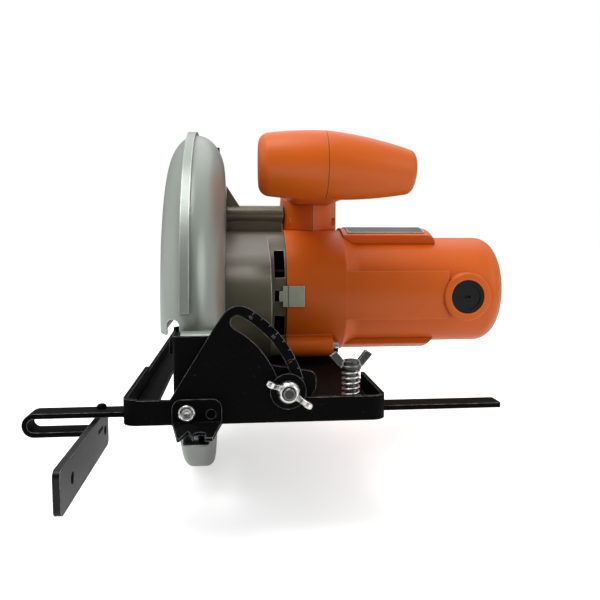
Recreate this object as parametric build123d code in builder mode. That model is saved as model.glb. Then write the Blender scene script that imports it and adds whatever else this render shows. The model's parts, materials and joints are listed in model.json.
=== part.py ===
"""Hand-held circular saw with tilting base, rip fence and swinging lower guard.

Millimetres, +Z up, the sole of the base at Z = 0 and the middle of the sole at the origin.
X runs from the blade side to the motor side, Y runs from the front to the rear.
"""

import os
from math import acos, asin, atan2, cos, degrees, pi, radians, sin, sqrt

from build123d import *

os.makedirs("parts", exist_ok=True)

# Fits shared by every piece
running_gap = 0.05
loose_gap = 0.3
thread_gap = 0.1

# Blade and spindle positions
blade_x = -33.0
blade_radius = 100.0
spindle_y = 2.0
spindle_z = 43.5

# Base plate
base_width = 127.0
base_margin = 33.0
base_length = 2 * (blade_radius + base_margin)
sheet = 2.0
base_corner = 7.0
front_lip = 12.0
left_lip_tall = 12.5
left_lip_low = 9.5
left_step_y = -50.0
right_step_y = -75.0
slot_left = -51.0
slot_right = -9.0
slot_margin = 12.0
slot_corner = 4.0
slot_reach = sqrt(blade_radius**2 - spindle_z**2) + slot_margin
slot_front = spindle_y - slot_reach
slot_rear = spindle_y + slot_reach
base_left = -base_width / 2
base_right = base_width / 2
base_front = -base_length / 2
base_rear = base_length / 2

# Gears and motor position
gear_module = 1.5
gear_teeth = 42
pinion_teeth = 10
gear_centres = gear_module * (gear_teeth + pinion_teeth) / 2
motor_rise = 7.0
motor_y = spindle_y + sqrt(gear_centres**2 - motor_rise**2)
motor_z = spindle_z + motor_rise

# Bevel pivot and quadrant
bevel_x = blade_x
bevel_z = 6.0
bevel_pin_radius = 3.0
bevel_head_radius = 4.1
bevel_head_height = 1.6
bevel_recess_radius = 2.3
bevel_closing_radius = 3.8
quadrant_outer = 57.5
quadrant_slot_radius = 49.0
quadrant_slot_width = 6.6
quadrant_slot_top = 60.5
quadrant_foot_x = -41.0
quadrant_crest_x = -18.5
quadrant_crest_z = 48.5
quadrant_crest_round = 9.0
quadrant_crest_span = 8.0
quadrant_slot_margin = 1.0
stud_angle = 11.0
stud_x = bevel_x + quadrant_slot_radius * cos(radians(stud_angle))
stud_z = bevel_z + quadrant_slot_radius * sin(radians(stud_angle))
stud_radius = 3.0

# Depth pivot, depth guide and depth clamp
depth_setback = 17.0
depth_y = base_front + depth_setback
depth_z = 35.5
depth_pin_radius = 3.0
depth_head_radius = 4.5
depth_head_height = 2.5
depth_limit = 30.0
depth_arc_inset = 9.0
depth_arc_radius = base_rear - depth_arc_inset - depth_y
depth_arc_half = 7.5
depth_slot_width = 6.6
depth_arc_angle = -2.4
depth_arc_margin = 1.8
depth_guide_left = -24.5
depth_guide_sheet = 3.0
depth_clamp_y = depth_y + depth_arc_radius * cos(radians(depth_arc_angle))
depth_clamp_z = depth_z + depth_arc_radius * sin(radians(depth_arc_angle))
depth_bolt_radius = 3.0

# Upper guard
guard_left = -50.0
guard_right = -16.0
guard_clearance = 11.0
guard_radius = blade_radius + guard_clearance
guard_wall = 2.5
guard_crown = 24.0
guard_rib_left = -38.0
guard_rib_width = 5.0
guard_rib_height = 2.2
guard_rib_front = 86.5
guard_rib_rear = 72.0
guard_edge_z = 38.5
guard_arch = 34.0
guard_width = guard_right - guard_left
guard_middle = (guard_left + guard_right) / 2
guard_shoulder = guard_radius - guard_crown

# Lower guard
lower_left = -42.0
lower_right = -24.0
lower_clearance = 5.0
lower_radius = blade_radius + lower_clearance
lower_wall = 1.6
lower_inner = 62.0
lower_start = -135.0
lower_sweep = 143.0
lower_round = 5.0
nose_radius = 21.0
nose_end = -27.4
hub_radius = 24.0
hub_right = -19.5

# Gear housing
gear_case_right = 25.0
gear_case_spindle_radius = 37.0
gear_case_motor_radius = 43.0
gear_case_wall = 3.0
gear_floor = -4.0
gear_case_end = 13.0
bearing_plate_left = 5.0

# Motor housing
motor_right = 181.2
flange_step = 1.0
motor_flange_radius = gear_case_motor_radius + flange_step
motor_flange_right = 66.0
motor_radius = 38.5
motor_bore = 34.5
motor_end_round = 13.0
motor_end_wall = 4.0
lip_clearance = 1.0
right_lip_low = motor_z - motor_flange_radius - lip_clearance

# Handle
handle_x = 46.0
handle_half = 17.0
handle_wall = 3.0
post_half = 20.0
post_front = 32.0
barrel_y = -33.0
barrel_z = 133.5
barrel_left = 4.8
barrel_right = 102.0
barrel_radius = 21.0
barrel_tip_radius = 13.0
barrel_left_radius = 18.4
barrel_left_swell = 20.6
barrel_tip_swell = 18.6
barrel_drop = 4.0
tongue_screw_places = ((97, 52), (47, 101))
shell_screw_places = ((-8, 134), (52, 138), (133, 108), (141, 72))
handle_screw_places = shell_screw_places + tongue_screw_places
handle_screw_radius = 1.75

# Rip fence
fence_setback = 15.0
fence_y = base_front + fence_setback
fence_width = 12.0
fence_thick = 2.5
fence_lift = 0.15
fence_right = 125.0
fence_loop_x = -106.0
fence_loop_radius = 3.3
fence_plate_left = -79.2
fence_plate_thick = 3.0
fence_plate_ahead = 74.5
fence_plate_behind = 19.0
fence_plate_front = fence_y - fence_plate_ahead
fence_plate_rear = fence_y + fence_plate_behind
fence_plate_top = 0.3
fence_plate_height = 18.5
fence_plate_corner = 3.0
fence_hole_ahead = 56.0
fence_hole_behind = 11.0
fence_hole_front = fence_y - fence_hole_ahead
fence_hole_rear = fence_y + fence_hole_behind
fence_hole_radius = 2.75
fence_rivet_x = -76.0
fence_rivet_behind = 3.0
fence_rivet_y = fence_y + fence_rivet_behind
fence_rivet_radius = 1.4
fence_rivet_height = 2.2
fence_rivet_head = 2.4
fence_rivet_round = 1.7
fence_end_round = 1.0
fence_bolt_inset = 15.5
fence_bolt_x = base_right - fence_bolt_inset
fence_bolt_radius = 3.0


def spindle_plane(x):
    """Plane square to the spindle at x, with the spindle at its origin."""
    return Plane(origin=(x, spindle_y, spindle_z), x_dir=(0, 1, 0), z_dir=(1, 0, 0))


def motor_plane(x):
    """Plane square to the motor shaft at x, with the shaft at its origin."""
    return Plane(origin=(x, motor_y, motor_z), x_dir=(0, 1, 0), z_dir=(1, 0, 0))


def rod_x(left, right, y, z, radius, mode=Mode.ADD):
    """Round bar along X from left to right."""
    with Locations((left, y, z)):
        Cylinder(
            radius,
            right - left,
            rotation=(0, 90, 0),
            align=(Align.CENTER, Align.CENTER, Align.MIN),
            mode=mode,
        )


def rod_y(front, rear, x, z, radius, mode=Mode.ADD):
    """Round bar along Y from front to rear."""
    with Locations((x, front, z)):
        Cylinder(
            radius,
            rear - front,
            rotation=(-90, 0, 0),
            align=(Align.CENTER, Align.CENTER, Align.MIN),
            mode=mode,
        )


def rod_z(bottom, top, x, y, radius, mode=Mode.ADD):
    """Round bar along Z from bottom to top."""
    with Locations((x, y, bottom)):
        Cylinder(radius, top - bottom, align=(Align.CENTER, Align.CENTER, Align.MIN), mode=mode)


def block(x_range, y_range, z_range, mode=Mode.ADD):
    """Box given by its three ranges."""
    low = Vector(x_range[0], y_range[0], z_range[0])
    high = Vector(x_range[1], y_range[1], z_range[1])
    size = high - low
    with Locations((low + high) * 0.5):
        Box(size.X, size.Y, size.Z, mode=mode)


def coil_points(centre, radius, pitch, turns, along, step):
    """Places and headings of a coil's wire, one for each step of a turn."""
    rise = pitch / (2 * pi)
    places = []
    for number in range(round(turns / step) + 1):
        angle = 2 * pi * step * number
        ring = (radius * cos(angle), radius * sin(angle), rise * angle)
        heading = (-radius * sin(angle), radius * cos(angle), rise)
        if along == "x":
            ring = (ring[2], ring[0], ring[1])
            heading = (heading[2], heading[0], heading[1])
        places.append((Vector(*centre) + Vector(*ring), Vector(*heading).normalized()))
    return places


def coil_line(places):
    """Draw a coil in the open line builder as two tangent arcs for each step."""
    for (start, start_heading), (end, end_heading) in zip(places, places[1:]):
        chord = end - start
        both = start_heading + end_heading
        bend = 2 * (1 - start_heading.dot(end_heading))
        reach = (-chord.dot(both) + sqrt(chord.dot(both) ** 2 + bend * chord.dot(chord))) / bend
        joint = (start + end + (start_heading - end_heading) * reach) * 0.5
        joint_heading = (end - end_heading * reach) - (start + start_heading * reach)
        TangentArc(start, joint, tangent=start_heading)
        TangentArc(joint, end, tangent=joint_heading)


def arc_slot_line(centre, radius, half_width, start, sweep):
    """Draw a round-ended slot that follows an arc in the open line builder."""
    end = start + sweep
    CenterArc(centre, radius + half_width, start, sweep)
    CenterArc(centre, radius - half_width, start, sweep)
    for angle, cap_start in ((start, start + 180), (end, end)):
        cap_x = centre[0] + radius * cos(radians(angle))
        cap_y = centre[1] + radius * sin(radians(angle))
        CenterArc((cap_x, cap_y), half_width, cap_start, 180)


def wing_line(side, span, hub_half, hub_top, wing_top):
    """Draw one wing of a wing nut in the open line builder, from the hub out to its ear."""
    Polyline(
        (side * hub_half, wing_foot),
        (side * span * 0.36, wing_foot + wing_rise),
        (side * span / 2, wing_top - wing_ear),
        (side * span * 0.42, wing_top),
        (side * span * 0.3, wing_top - wing_ear),
        (side * hub_half, hub_top),
        close=True,
    )


def least_gap(places, wire_radius, turn_steps):
    """Least clear space between the turns of a coil, measured on its points."""
    nearest = min(
        (one[0] - other[0]).length
        for number, one in enumerate(places)
        for other in places[number + turn_steps // 2 :]
    )
    return nearest - 2 * wire_radius


def save(part, name):
    """Label one sub-part and write it under its node name."""
    part.label = name
    export_step(part, f"parts/{name}.step")


def half_section(y, z, angle):
    """Half plane along X through a shaft at y and z, angle measured from the rear upwards."""
    turn = radians(angle)
    return Plane(origin=(0, y, z), x_dir=(1, 0, 0), z_dir=(0, -sin(turn), cos(turn)))


spindle_section = half_section(spindle_y, spindle_z, 90)
motor_section = half_section(motor_y, motor_z, 90)
spindle_axis = Axis((0, spindle_y, spindle_z), (1, 0, 0))
motor_axis = Axis((0, motor_y, motor_z), (1, 0, 0))

# Base plate: stamped tray with the bevel quadrant rising from its front lip
fence_gap_y = (fence_y - fence_width / 2 - loose_gap, fence_y + fence_width / 2 + loose_gap)
fence_top = sheet + fence_lift + fence_thick
with BuildPart() as base_plate:
    with BuildSketch():
        RectangleRounded(base_width, base_length, base_corner)
    extrude(amount=left_lip_tall)
    with BuildSketch(Plane.XY.offset(sheet)):
        RectangleRounded(base_width - 2 * sheet, base_length - 2 * sheet, base_corner - sheet)
    extrude(amount=left_lip_tall, mode=Mode.SUBTRACT)
    inner_left = base_left + base_corner
    inner_right = base_right - base_corner
    inner_rear = base_rear - base_corner
    above = left_lip_tall + sheet
    block((base_left, inner_left), (left_step_y, inner_rear), (left_lip_low, above), Mode.SUBTRACT)
    block((inner_left, base_right), (base_front, right_step_y), (front_lip, above), Mode.SUBTRACT)
    block((inner_right, base_right), (right_step_y, base_rear), (right_lip_low, above), Mode.SUBTRACT)
    block((0, base_right), (inner_rear, base_rear), (right_lip_low, above), Mode.SUBTRACT)
    with BuildSketch(Plane.XZ.offset(-base_front)):
        with BuildLine():
            Polyline(
                (quadrant_foot_x, sheet),
                (quadrant_foot_x, front_lip),
                (quadrant_crest_x, quadrant_crest_z),
            )
            crest_angle = degrees(acos((quadrant_crest_x + quadrant_crest_span - bevel_x) / quadrant_outer))
            foot_angle = degrees(asin((sheet - bevel_z) / quadrant_outer))
            outer_arc = CenterArc(
                (bevel_x, bevel_z), quadrant_outer, foot_angle, crest_angle - foot_angle
            )
            Line((quadrant_crest_x, quadrant_crest_z), outer_arc @ 1)
            Line(outer_arc @ 0, (quadrant_foot_x, sheet))
        make_face()
        crest = vertices().filter_by(lambda v: v.Y > quadrant_crest_z - 1)
        fillet(crest, radius=quadrant_crest_round)
    extrude(amount=-sheet)
    with BuildSketch(Plane.XZ.offset(-base_front)):
        with BuildLine():
            slot_start = stud_angle - quadrant_slot_margin
            slot_sweep = quadrant_slot_top - slot_start
            slot_half = quadrant_slot_width / 2
            pivot_place = (bevel_x, bevel_z)
            arc_slot_line(pivot_place, quadrant_slot_radius, slot_half, slot_start, slot_sweep)
        make_face()
    extrude(amount=-sheet, mode=Mode.SUBTRACT)
    with BuildSketch():
        with Locations(((slot_left + slot_right) / 2, (slot_front + slot_rear) / 2)):
            RectangleRounded(slot_right - slot_left, slot_rear - slot_front, slot_corner)
    extrude(amount=sheet, mode=Mode.SUBTRACT)
    for lip_x in ((base_left, base_left + sheet), (base_right - sheet, base_right)):
        block(lip_x, fence_gap_y, (sheet, fence_top + loose_gap), Mode.SUBTRACT)
    rod_y(base_front, base_front + sheet, bevel_x, bevel_z, bevel_pin_radius, Mode.SUBTRACT)
    rod_y(base_rear - sheet, base_rear, bevel_x, bevel_z, bevel_pin_radius, Mode.SUBTRACT)
save(base_plate.part, "base_plate")

# Sight guide: bent plate on the front lip with the two sight notches in its tongue
sight_left = -40.0
sight_right = -16.5
sight_height = 12.6
sight_sheet = 1.6
sight_round = 4.5
tongue_reach = 25.0
tongue_left = -35.5
tongue_right = -20.0
sight_v_x = -31.5
sight_v_depth = 11.0
sight_v_half = 3.0
sight_u_x = -26.0
sight_u_half = 2.6
sight_u_depth = 9.0
dimple_x = -21.6
dimple_z = 5.3
dimple_radius = 2.3
dimple_depth = 0.5
sight_front = base_front - sight_sheet
tongue_front = sight_front - tongue_reach
with BuildPart() as sight_guide:
    with BuildSketch(Plane.XZ.offset(-base_front)):
        with Locations(((sight_left + sight_right) / 2, sight_height / 2)):
            Rectangle(sight_right - sight_left, sight_height)
        fillet(vertices().group_by(Axis.Y)[-1], radius=sight_round)
    extrude(amount=sight_sheet)
    with BuildSketch():
        with BuildLine():
            Polyline(
                (sight_left, base_front),
                (tongue_left, tongue_front),
                (sight_v_x - sight_v_half, tongue_front),
                (sight_v_x, tongue_front + sight_v_depth),
                (sight_v_x + sight_v_half, tongue_front),
                (tongue_right, tongue_front),
                (sight_right, base_front),
                close=True,
            )
        make_face()
        with Locations((sight_u_x, tongue_front)):
            SlotOverall(2 * sight_u_depth, 2 * sight_u_half, rotation=90, mode=Mode.SUBTRACT)
    extrude(amount=sight_sheet)
    rod_y(sight_front, base_front, bevel_x, bevel_z, bevel_pin_radius, Mode.SUBTRACT)
    rod_y(sight_front, sight_front + dimple_depth, dimple_x, dimple_z, dimple_radius, Mode.SUBTRACT)
save(sight_guide.part, "sight_guide")

# Tilt brackets stand just inside the front and rear lips
bracket_sheet = 2.5
bracket_gap = 0.3
bracket_bottom = 2.7
bracket_over_pin = 6.5
bracket_top = depth_z + bracket_over_pin
bracket_left = -39.5
bracket_cut_z = 9.4
bracket_cut_x = -33.6
flange_behind_pin = 7.0
bracket_flange_rear = depth_y + flange_behind_pin
left_flange_bottom = 14.0
right_flange_bottom = 24.0
flange_round = 6.0
bracket_flange_right = -8.5
bracket_shoulder_z = 30.0
ear_tip_x = 29.0
ear_tip_z = 20.0
ear_foot_x = 20.0
ear_round = 4.0
bracket_front = base_front + sheet + bracket_gap
bracket_back = bracket_front + bracket_sheet
rear_bracket_back = base_rear - sheet - bracket_gap
rear_bracket_front = rear_bracket_back - bracket_sheet
rear_bracket_right = -6.0
rear_bracket_top = 14.0

# Bevel pivot rivets: head, shank through the lip, closing head behind the bracket
with BuildPart() as bevel_pivot_front:
    rod_y(sight_front - bevel_head_height, sight_front, bevel_x, bevel_z, bevel_head_radius)
    rod_y(sight_front, bracket_back + running_gap, bevel_x, bevel_z, bevel_pin_radius)
    closing_front = bracket_back + running_gap
    rod_y(closing_front, closing_front + bevel_head_height, bevel_x, bevel_z, bevel_closing_radius)
    recess_end = sight_front - bevel_head_height / 3
    rod_y(sight_front - bevel_head_height, recess_end, bevel_x, bevel_z, bevel_recess_radius, Mode.SUBTRACT)
    ring_edge = edges().filter_by(GeomType.CIRCLE).group_by(Axis.Y)[0].sort_by(SortBy.RADIUS)[-1]
    fillet(ring_edge, radius=bevel_head_height / 3)
save(bevel_pivot_front.part, "bevel_pivot_front")

with BuildPart() as bevel_pivot_rear:
    rod_y(base_rear, base_rear + bevel_head_height, bevel_x, bevel_z, bevel_head_radius)
    closing_rear = rear_bracket_front - running_gap
    rod_y(closing_rear, base_rear, bevel_x, bevel_z, bevel_pin_radius)
    rod_y(closing_rear - bevel_head_height, closing_rear, bevel_x, bevel_z, bevel_closing_radius)
save(bevel_pivot_rear.part, "bevel_pivot_rear")

# Front tilt bracket: plate with two flanges for the depth pin and an ear for the bevel stud
bevel_pin_hole = bevel_pin_radius + running_gap
with BuildPart() as tilt_bracket:
    with BuildSketch(Plane.XZ.offset(-bracket_front)):
        with BuildLine():
            Polyline(
                (bracket_left, bracket_cut_z),
                (bracket_left, bracket_top),
                (bracket_flange_right, bracket_top),
                (bracket_flange_right, bracket_shoulder_z),
                (ear_tip_x, ear_tip_z + ear_round),
                (ear_tip_x, ear_tip_z - ear_round),
                (ear_foot_x, bracket_bottom),
                (bracket_cut_x, bracket_bottom),
                close=True,
            )
        make_face()
        fillet(vertices().group_by(Axis.X)[-1], radius=ear_round)
    extrude(amount=-bracket_sheet)
    left_flange = (bracket_left, bracket_left + bracket_sheet)
    right_flange = (bracket_flange_right - bracket_sheet, bracket_flange_right)
    block(left_flange, (bracket_front, bracket_flange_rear), (left_flange_bottom, bracket_top))
    block(right_flange, (bracket_front, bracket_flange_rear), (right_flange_bottom, bracket_top))
    corner = edges().filter_by(Axis.Z).group_by(Axis.Y)[0].sort_by(Axis.X)[0]
    fillet(corner, radius=bracket_sheet)
    flange_ends = edges().filter_by(Axis.X).group_by(Axis.Y)[-1]
    fillet(flange_ends, radius=flange_round)
    rod_y(bracket_front, bracket_back, bevel_x, bevel_z, bevel_pin_hole, Mode.SUBTRACT)
    rod_y(bracket_front, bracket_back, stud_x, stud_z, stud_radius, Mode.SUBTRACT)
    rod_x(bracket_left, bracket_flange_right, depth_y, depth_z, depth_pin_radius, Mode.SUBTRACT)
save(tilt_bracket.part, "tilt_bracket")

# Tilt rail: flat strip that ties the front bracket to the rear one beside the blade opening
rail_left = depth_guide_left + depth_guide_sheet
rail_right = -16.6
rail_bottom = 6.0
rail_top = 11.0
with BuildPart() as tilt_rail:
    block((rail_left, rail_right), (bracket_back, rear_bracket_front), (rail_bottom, rail_top))
save(tilt_rail.part, "tilt_rail")

# Rear tilt bracket
with BuildPart() as rear_bracket:
    with BuildSketch(Plane.XZ.offset(-rear_bracket_front)):
        with BuildLine():
            Polyline(
                (bracket_left, bracket_cut_z),
                (bracket_left, rear_bracket_top),
                (rear_bracket_right, rear_bracket_top),
                (rear_bracket_right, bracket_bottom),
                (bracket_cut_x, bracket_bottom),
                close=True,
            )
        make_face()
        fillet(vertices().group_by(Axis.Y)[-1], radius=ear_round)
    extrude(amount=-bracket_sheet)
    rod_y(rear_bracket_front, rear_bracket_back, bevel_x, bevel_z, bevel_pin_hole, Mode.SUBTRACT)
save(rear_bracket.part, "rear_bracket")

# Depth guide: slotted arc about the depth pin, standing on the rear bracket
depth_plane = Plane(origin=(depth_guide_left, depth_y, depth_z), x_dir=(0, 1, 0), z_dir=(1, 0, 0))
depth_arc_start = depth_arc_angle - depth_arc_margin
depth_arc_sweep = depth_limit + 2 * depth_arc_margin
guide_foot_inset = 17.0
guide_foot_front = base_rear - guide_foot_inset
guide_rear_clear = 1.0
guide_trim = 100.0
with BuildPart() as depth_guide:
    with BuildSketch(depth_plane):
        with BuildLine():
            arc_slot_line((0, 0), depth_arc_radius, depth_arc_half, depth_arc_start, depth_arc_sweep)
        make_face()
        foot_x = (guide_foot_front - depth_y, rear_bracket_front - depth_y)
        foot_z = (bracket_bottom - depth_z, depth_clamp_z - depth_z)
        with Locations((sum(foot_x) / 2, sum(foot_z) / 2)):
            Rectangle(foot_x[1] - foot_x[0], foot_z[1] - foot_z[0])
        with BuildLine():
            slot_half = depth_slot_width / 2
            arc_slot_line((0, 0), depth_arc_radius, slot_half, depth_arc_start, depth_arc_sweep)
        make_face(mode=Mode.SUBTRACT)
        behind = base_rear - guide_rear_clear - depth_y
        with Locations((behind, -depth_z)):
            Rectangle(guide_trim, guide_trim, align=(Align.MIN, Align.CENTER), mode=Mode.SUBTRACT)
        rear_face_x = rear_bracket_front - depth_y
        over_bracket = rear_bracket_top + guide_rear_clear - depth_z
        with Locations((rear_face_x, over_bracket)):
            Rectangle(guide_trim, guide_trim, align=(Align.MIN, Align.MAX), mode=Mode.SUBTRACT)
    extrude(amount=depth_guide_sheet)
save(depth_guide.part, "depth_guide")

# Depth pin: headed pin across the front bracket
with BuildPart() as depth_pin:
    rod_x(bracket_left - depth_head_height, bracket_left, depth_y, depth_z, depth_head_radius)
    rod_x(bracket_left, bracket_flange_right, depth_y, depth_z, depth_pin_radius)
    clip_right = bracket_flange_right + depth_head_height
    rod_x(bracket_flange_right, clip_right, depth_y, depth_z, depth_head_radius)
save(depth_pin.part, "depth_pin")

# Bevel stud, washer and wing nut
washer_radius = 8.65
washer_thick = 1.6
stud_head_radius = 6.0
stud_head_height = 2.5
nut_hub_radius = 5.2
nut_hub_height = 5.0
stud_stickout = 1.5
wing_span = 24.5
wing_thick = 2.6
wing_height = 9.0
wing_angle = -30.0
wing_foot = 1.0
wing_rise = 0.8
wing_ear = 2.6
wing_root = 3.1
wing_shoulder = 0.6
hub_round = 1.2
stud_chamfer = 0.5
washer_front = base_front - washer_thick
nut_front = washer_front - nut_hub_height
with BuildPart() as bevel_stud:
    rod_y(nut_front - stud_stickout, bracket_back, stud_x, stud_z, stud_radius)
    rod_y(bracket_back, bracket_back + stud_head_height, stud_x, stud_z, stud_head_radius)
    tip_edge = edges().filter_by(GeomType.CIRCLE).group_by(Axis.Y)[0]
    chamfer(tip_edge, length=stud_chamfer)
save(bevel_stud.part, "bevel_stud")

with BuildPart() as bevel_washer:
    rod_y(washer_front, base_front - running_gap, stud_x, stud_z, washer_radius)
    rod_y(washer_front, base_front, stud_x, stud_z, stud_radius + thread_gap, Mode.SUBTRACT)
save(bevel_washer.part, "bevel_washer")

nut_back = washer_front - running_gap
wing_plane = Plane(origin=(stud_x, nut_back, stud_z), x_dir=(1, 0, 0), z_dir=(0, -1, 0))
with BuildPart() as bevel_wing_nut:
    rod_y(nut_front, nut_back, stud_x, stud_z, nut_hub_radius)
    rim = edges().filter_by(GeomType.CIRCLE).group_by(Axis.Y)[0]
    fillet(rim, radius=hub_round)
    with BuildSketch(wing_plane.rotated((90, 0, wing_angle)).offset(-wing_thick / 2)):
        for side in (-1, 1):
            with BuildLine():
                wing_line(side, wing_span, wing_root, nut_hub_height - wing_shoulder, wing_height)
            make_face()
    extrude(amount=wing_thick)
    rod_y(nut_front - wing_height, nut_back, stud_x, stud_z, stud_radius + running_gap, Mode.SUBTRACT)
save(bevel_wing_nut.part, "bevel_wing_nut")

# Fence bar: flat strip through both side lips, looped under at its left end
fence_bottom = sheet + fence_lift
loop_z = fence_bottom - fence_loop_radius
loop_outer = fence_loop_radius + fence_thick
arm_top = loop_z - fence_loop_radius
arm_bottom = arm_top - fence_thick
fence_plate_right = fence_plate_left + fence_plate_thick
fence_front = fence_y - fence_width / 2
with BuildPart() as fence_bar:
    with BuildSketch(Plane.XZ.offset(-fence_front)):
        with BuildLine():
            Line((fence_loop_x, fence_top), (fence_right, fence_top))
            Line((fence_right, fence_top), (fence_right, fence_bottom))
            Line((fence_right, fence_bottom), (fence_loop_x, fence_bottom))
            CenterArc((fence_loop_x, loop_z), fence_loop_radius, 90, 180)
            Line((fence_loop_x, arm_top), (fence_plate_right, arm_top))
            Line((fence_plate_right, arm_top), (fence_plate_right, arm_bottom))
            Line((fence_plate_right, arm_bottom), (fence_loop_x, arm_bottom))
            CenterArc((fence_loop_x, loop_z), loop_outer, 90, 180)
        make_face()
    extrude(amount=-fence_width)
    right_corners = edges().filter_by(Axis.Z).group_by(Axis.X)[-1]
    fillet(right_corners, radius=fence_end_round)
    rod_z(fence_bottom, fence_top, fence_rivet_x, fence_rivet_y, fence_rivet_radius, Mode.SUBTRACT)
save(fence_bar.part, "fence_bar")

with BuildPart() as fence_plate:
    with BuildSketch(Plane.YZ.offset(fence_plate_left)):
        plate_middle_y = (fence_plate_front + fence_plate_rear) / 2
        plate_middle_z = fence_plate_top - fence_plate_height / 2
        with Locations((plate_middle_y, plate_middle_z)):
            plate_length = fence_plate_rear - fence_plate_front
            RectangleRounded(plate_length, fence_plate_height, fence_plate_corner)
        with Locations((fence_hole_front, plate_middle_z), (fence_hole_rear, plate_middle_z)):
            Circle(fence_hole_radius, mode=Mode.SUBTRACT)
        with Locations((fence_y, (arm_top + arm_bottom) / 2)):
            Rectangle(fence_width, fence_thick, mode=Mode.SUBTRACT)
    extrude(amount=fence_plate_thick)
save(fence_plate.part, "fence_plate")

with BuildPart() as fence_rivet:
    rod_z(fence_bottom, fence_top, fence_rivet_x, fence_rivet_y, fence_rivet_radius)
    head_top = fence_top + fence_rivet_height
    rod_z(fence_top, head_top, fence_rivet_x, fence_rivet_y, fence_rivet_head)
    fillet(edges().group_by(Axis.Z)[-1], radius=fence_rivet_round)
save(fence_rivet.part, "fence_rivet")

# Fence bridge: strap over the bar with the thread for the wing bolt
bridge_width = 13.0
bridge_thick = 2.5
bridge_bend = 1.5
bridge_under = fence_top + loose_gap
bridge_top = bridge_under + bridge_thick
bridge_x = (fence_bolt_x - bridge_width / 2, fence_bolt_x + bridge_width / 2)
bridge_y = (fence_gap_y[0] - bridge_thick, fence_gap_y[1] + bridge_thick)
bolt_hole = fence_bolt_radius + running_gap
with BuildPart() as fence_bridge:
    block(bridge_x, bridge_y, (sheet, bridge_top))
    block(bridge_x, fence_gap_y, (sheet, bridge_under), Mode.SUBTRACT)
    bends = edges().filter_by(Axis.X).group_by(Axis.Z)[-1]
    fillet(bends, radius=bridge_bend)
    rod_z(bridge_under, bridge_top, fence_bolt_x, fence_y, bolt_hole, Mode.SUBTRACT)
save(fence_bridge.part, "fence_bridge")

# Fence wing bolt and the coil spring that keeps it from shaking loose
spring_wire = 0.65
spring_radius = 4.2
spring_turns = 5
spring_top = 22.5
spring_end_gap = 0.2
bolt_hub_top = 28.0
bolt_wing_top = 32.0
bolt_wing_span = 24.0
bolt_wing_thick = 2.6
bolt_wing_turn = 15.0
with BuildPart() as fence_wing_bolt:
    rod_z(fence_top + running_gap, spring_top, fence_bolt_x, fence_y, fence_bolt_radius)
    rod_z(spring_top, bolt_hub_top, fence_bolt_x, fence_y, nut_hub_radius)
    fillet(edges().group_by(Axis.Z)[-1], radius=hub_round)
    bolt_plane = Plane(
        origin=(fence_bolt_x, fence_y, spring_top),
        x_dir=(cos(radians(bolt_wing_turn)), sin(radians(bolt_wing_turn)), 0),
        z_dir=(sin(radians(bolt_wing_turn)), -cos(radians(bolt_wing_turn)), 0),
    )
    with BuildSketch(bolt_plane.offset(-bolt_wing_thick / 2)):
        rise = bolt_wing_top - spring_top
        for side in (-1, 1):
            with BuildLine():
                hub_rise = bolt_hub_top - spring_top - wing_shoulder
                wing_line(side, bolt_wing_span, wing_root, hub_rise, rise)
            make_face()
    extrude(amount=bolt_wing_thick)
save(fence_wing_bolt.part, "fence_wing_bolt")

spring_bottom = bridge_top + spring_wire + spring_end_gap
spring_pitch = (spring_top - spring_wire - spring_end_gap - spring_bottom) / spring_turns
spring_centre = (fence_bolt_x, fence_y, spring_bottom)
spring_places = coil_points(spring_centre, spring_radius, spring_pitch, spring_turns, "z", 0.25)
with BuildPart() as fence_spring:
    with BuildLine():
        coil_line(spring_places)
    with BuildSketch(Plane(origin=spring_places[0][0], z_dir=spring_places[0][1])):
        Circle(spring_wire)
    sweep()
save(fence_spring.part, "fence_spring")
fine_places = coil_points(spring_centre, spring_radius, spring_pitch, spring_turns, "z", 0.0625)
print("fence spring least gap", round(least_gap(fine_places, spring_wire, 16), 2))

# Upper guard: arched half drum with a rib over its rim, a front lug and a rear lug
front_lug_radius = 7.0
lug_head = 0.6
front_lug_left = bracket_left + bracket_sheet + loose_gap
front_lug_right = bracket_flange_right - bracket_sheet - loose_gap
front_lug_top = bracket_top - lug_head
rear_lug_radius = 7.0
rear_lug_left = depth_guide_left + depth_guide_sheet + loose_gap
rear_lug_right = -12.0
notch_x = -41.6
notch_half = 3.4
notch_top = 47.0
guard_screw_radius = 2.0
guard_screw_ring = 30.0
guard_screw_angles = (35, 90, 145)
guard_screw_places = [
    (
        spindle_y + guard_screw_ring * cos(radians(angle)),
        spindle_z + guard_screw_ring * sin(radians(angle)),
    )
    for angle in guard_screw_angles
]
lug_root = 4.0
lug_reach = 11.0
lug_drop = 3.0
rear_lug_points = (
    (86.0, 60.0),
    (109.0, 60.0),
    (depth_clamp_y + 6.0, 30.0),
    (118.0, 19.5),
    (86.0, 42.0),
)
channel_rear = 99.0
cut_front = base_front
cut_rear = base_rear + rear_lug_radius
cut_over = 1.0
notch_reach = 12.0
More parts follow.
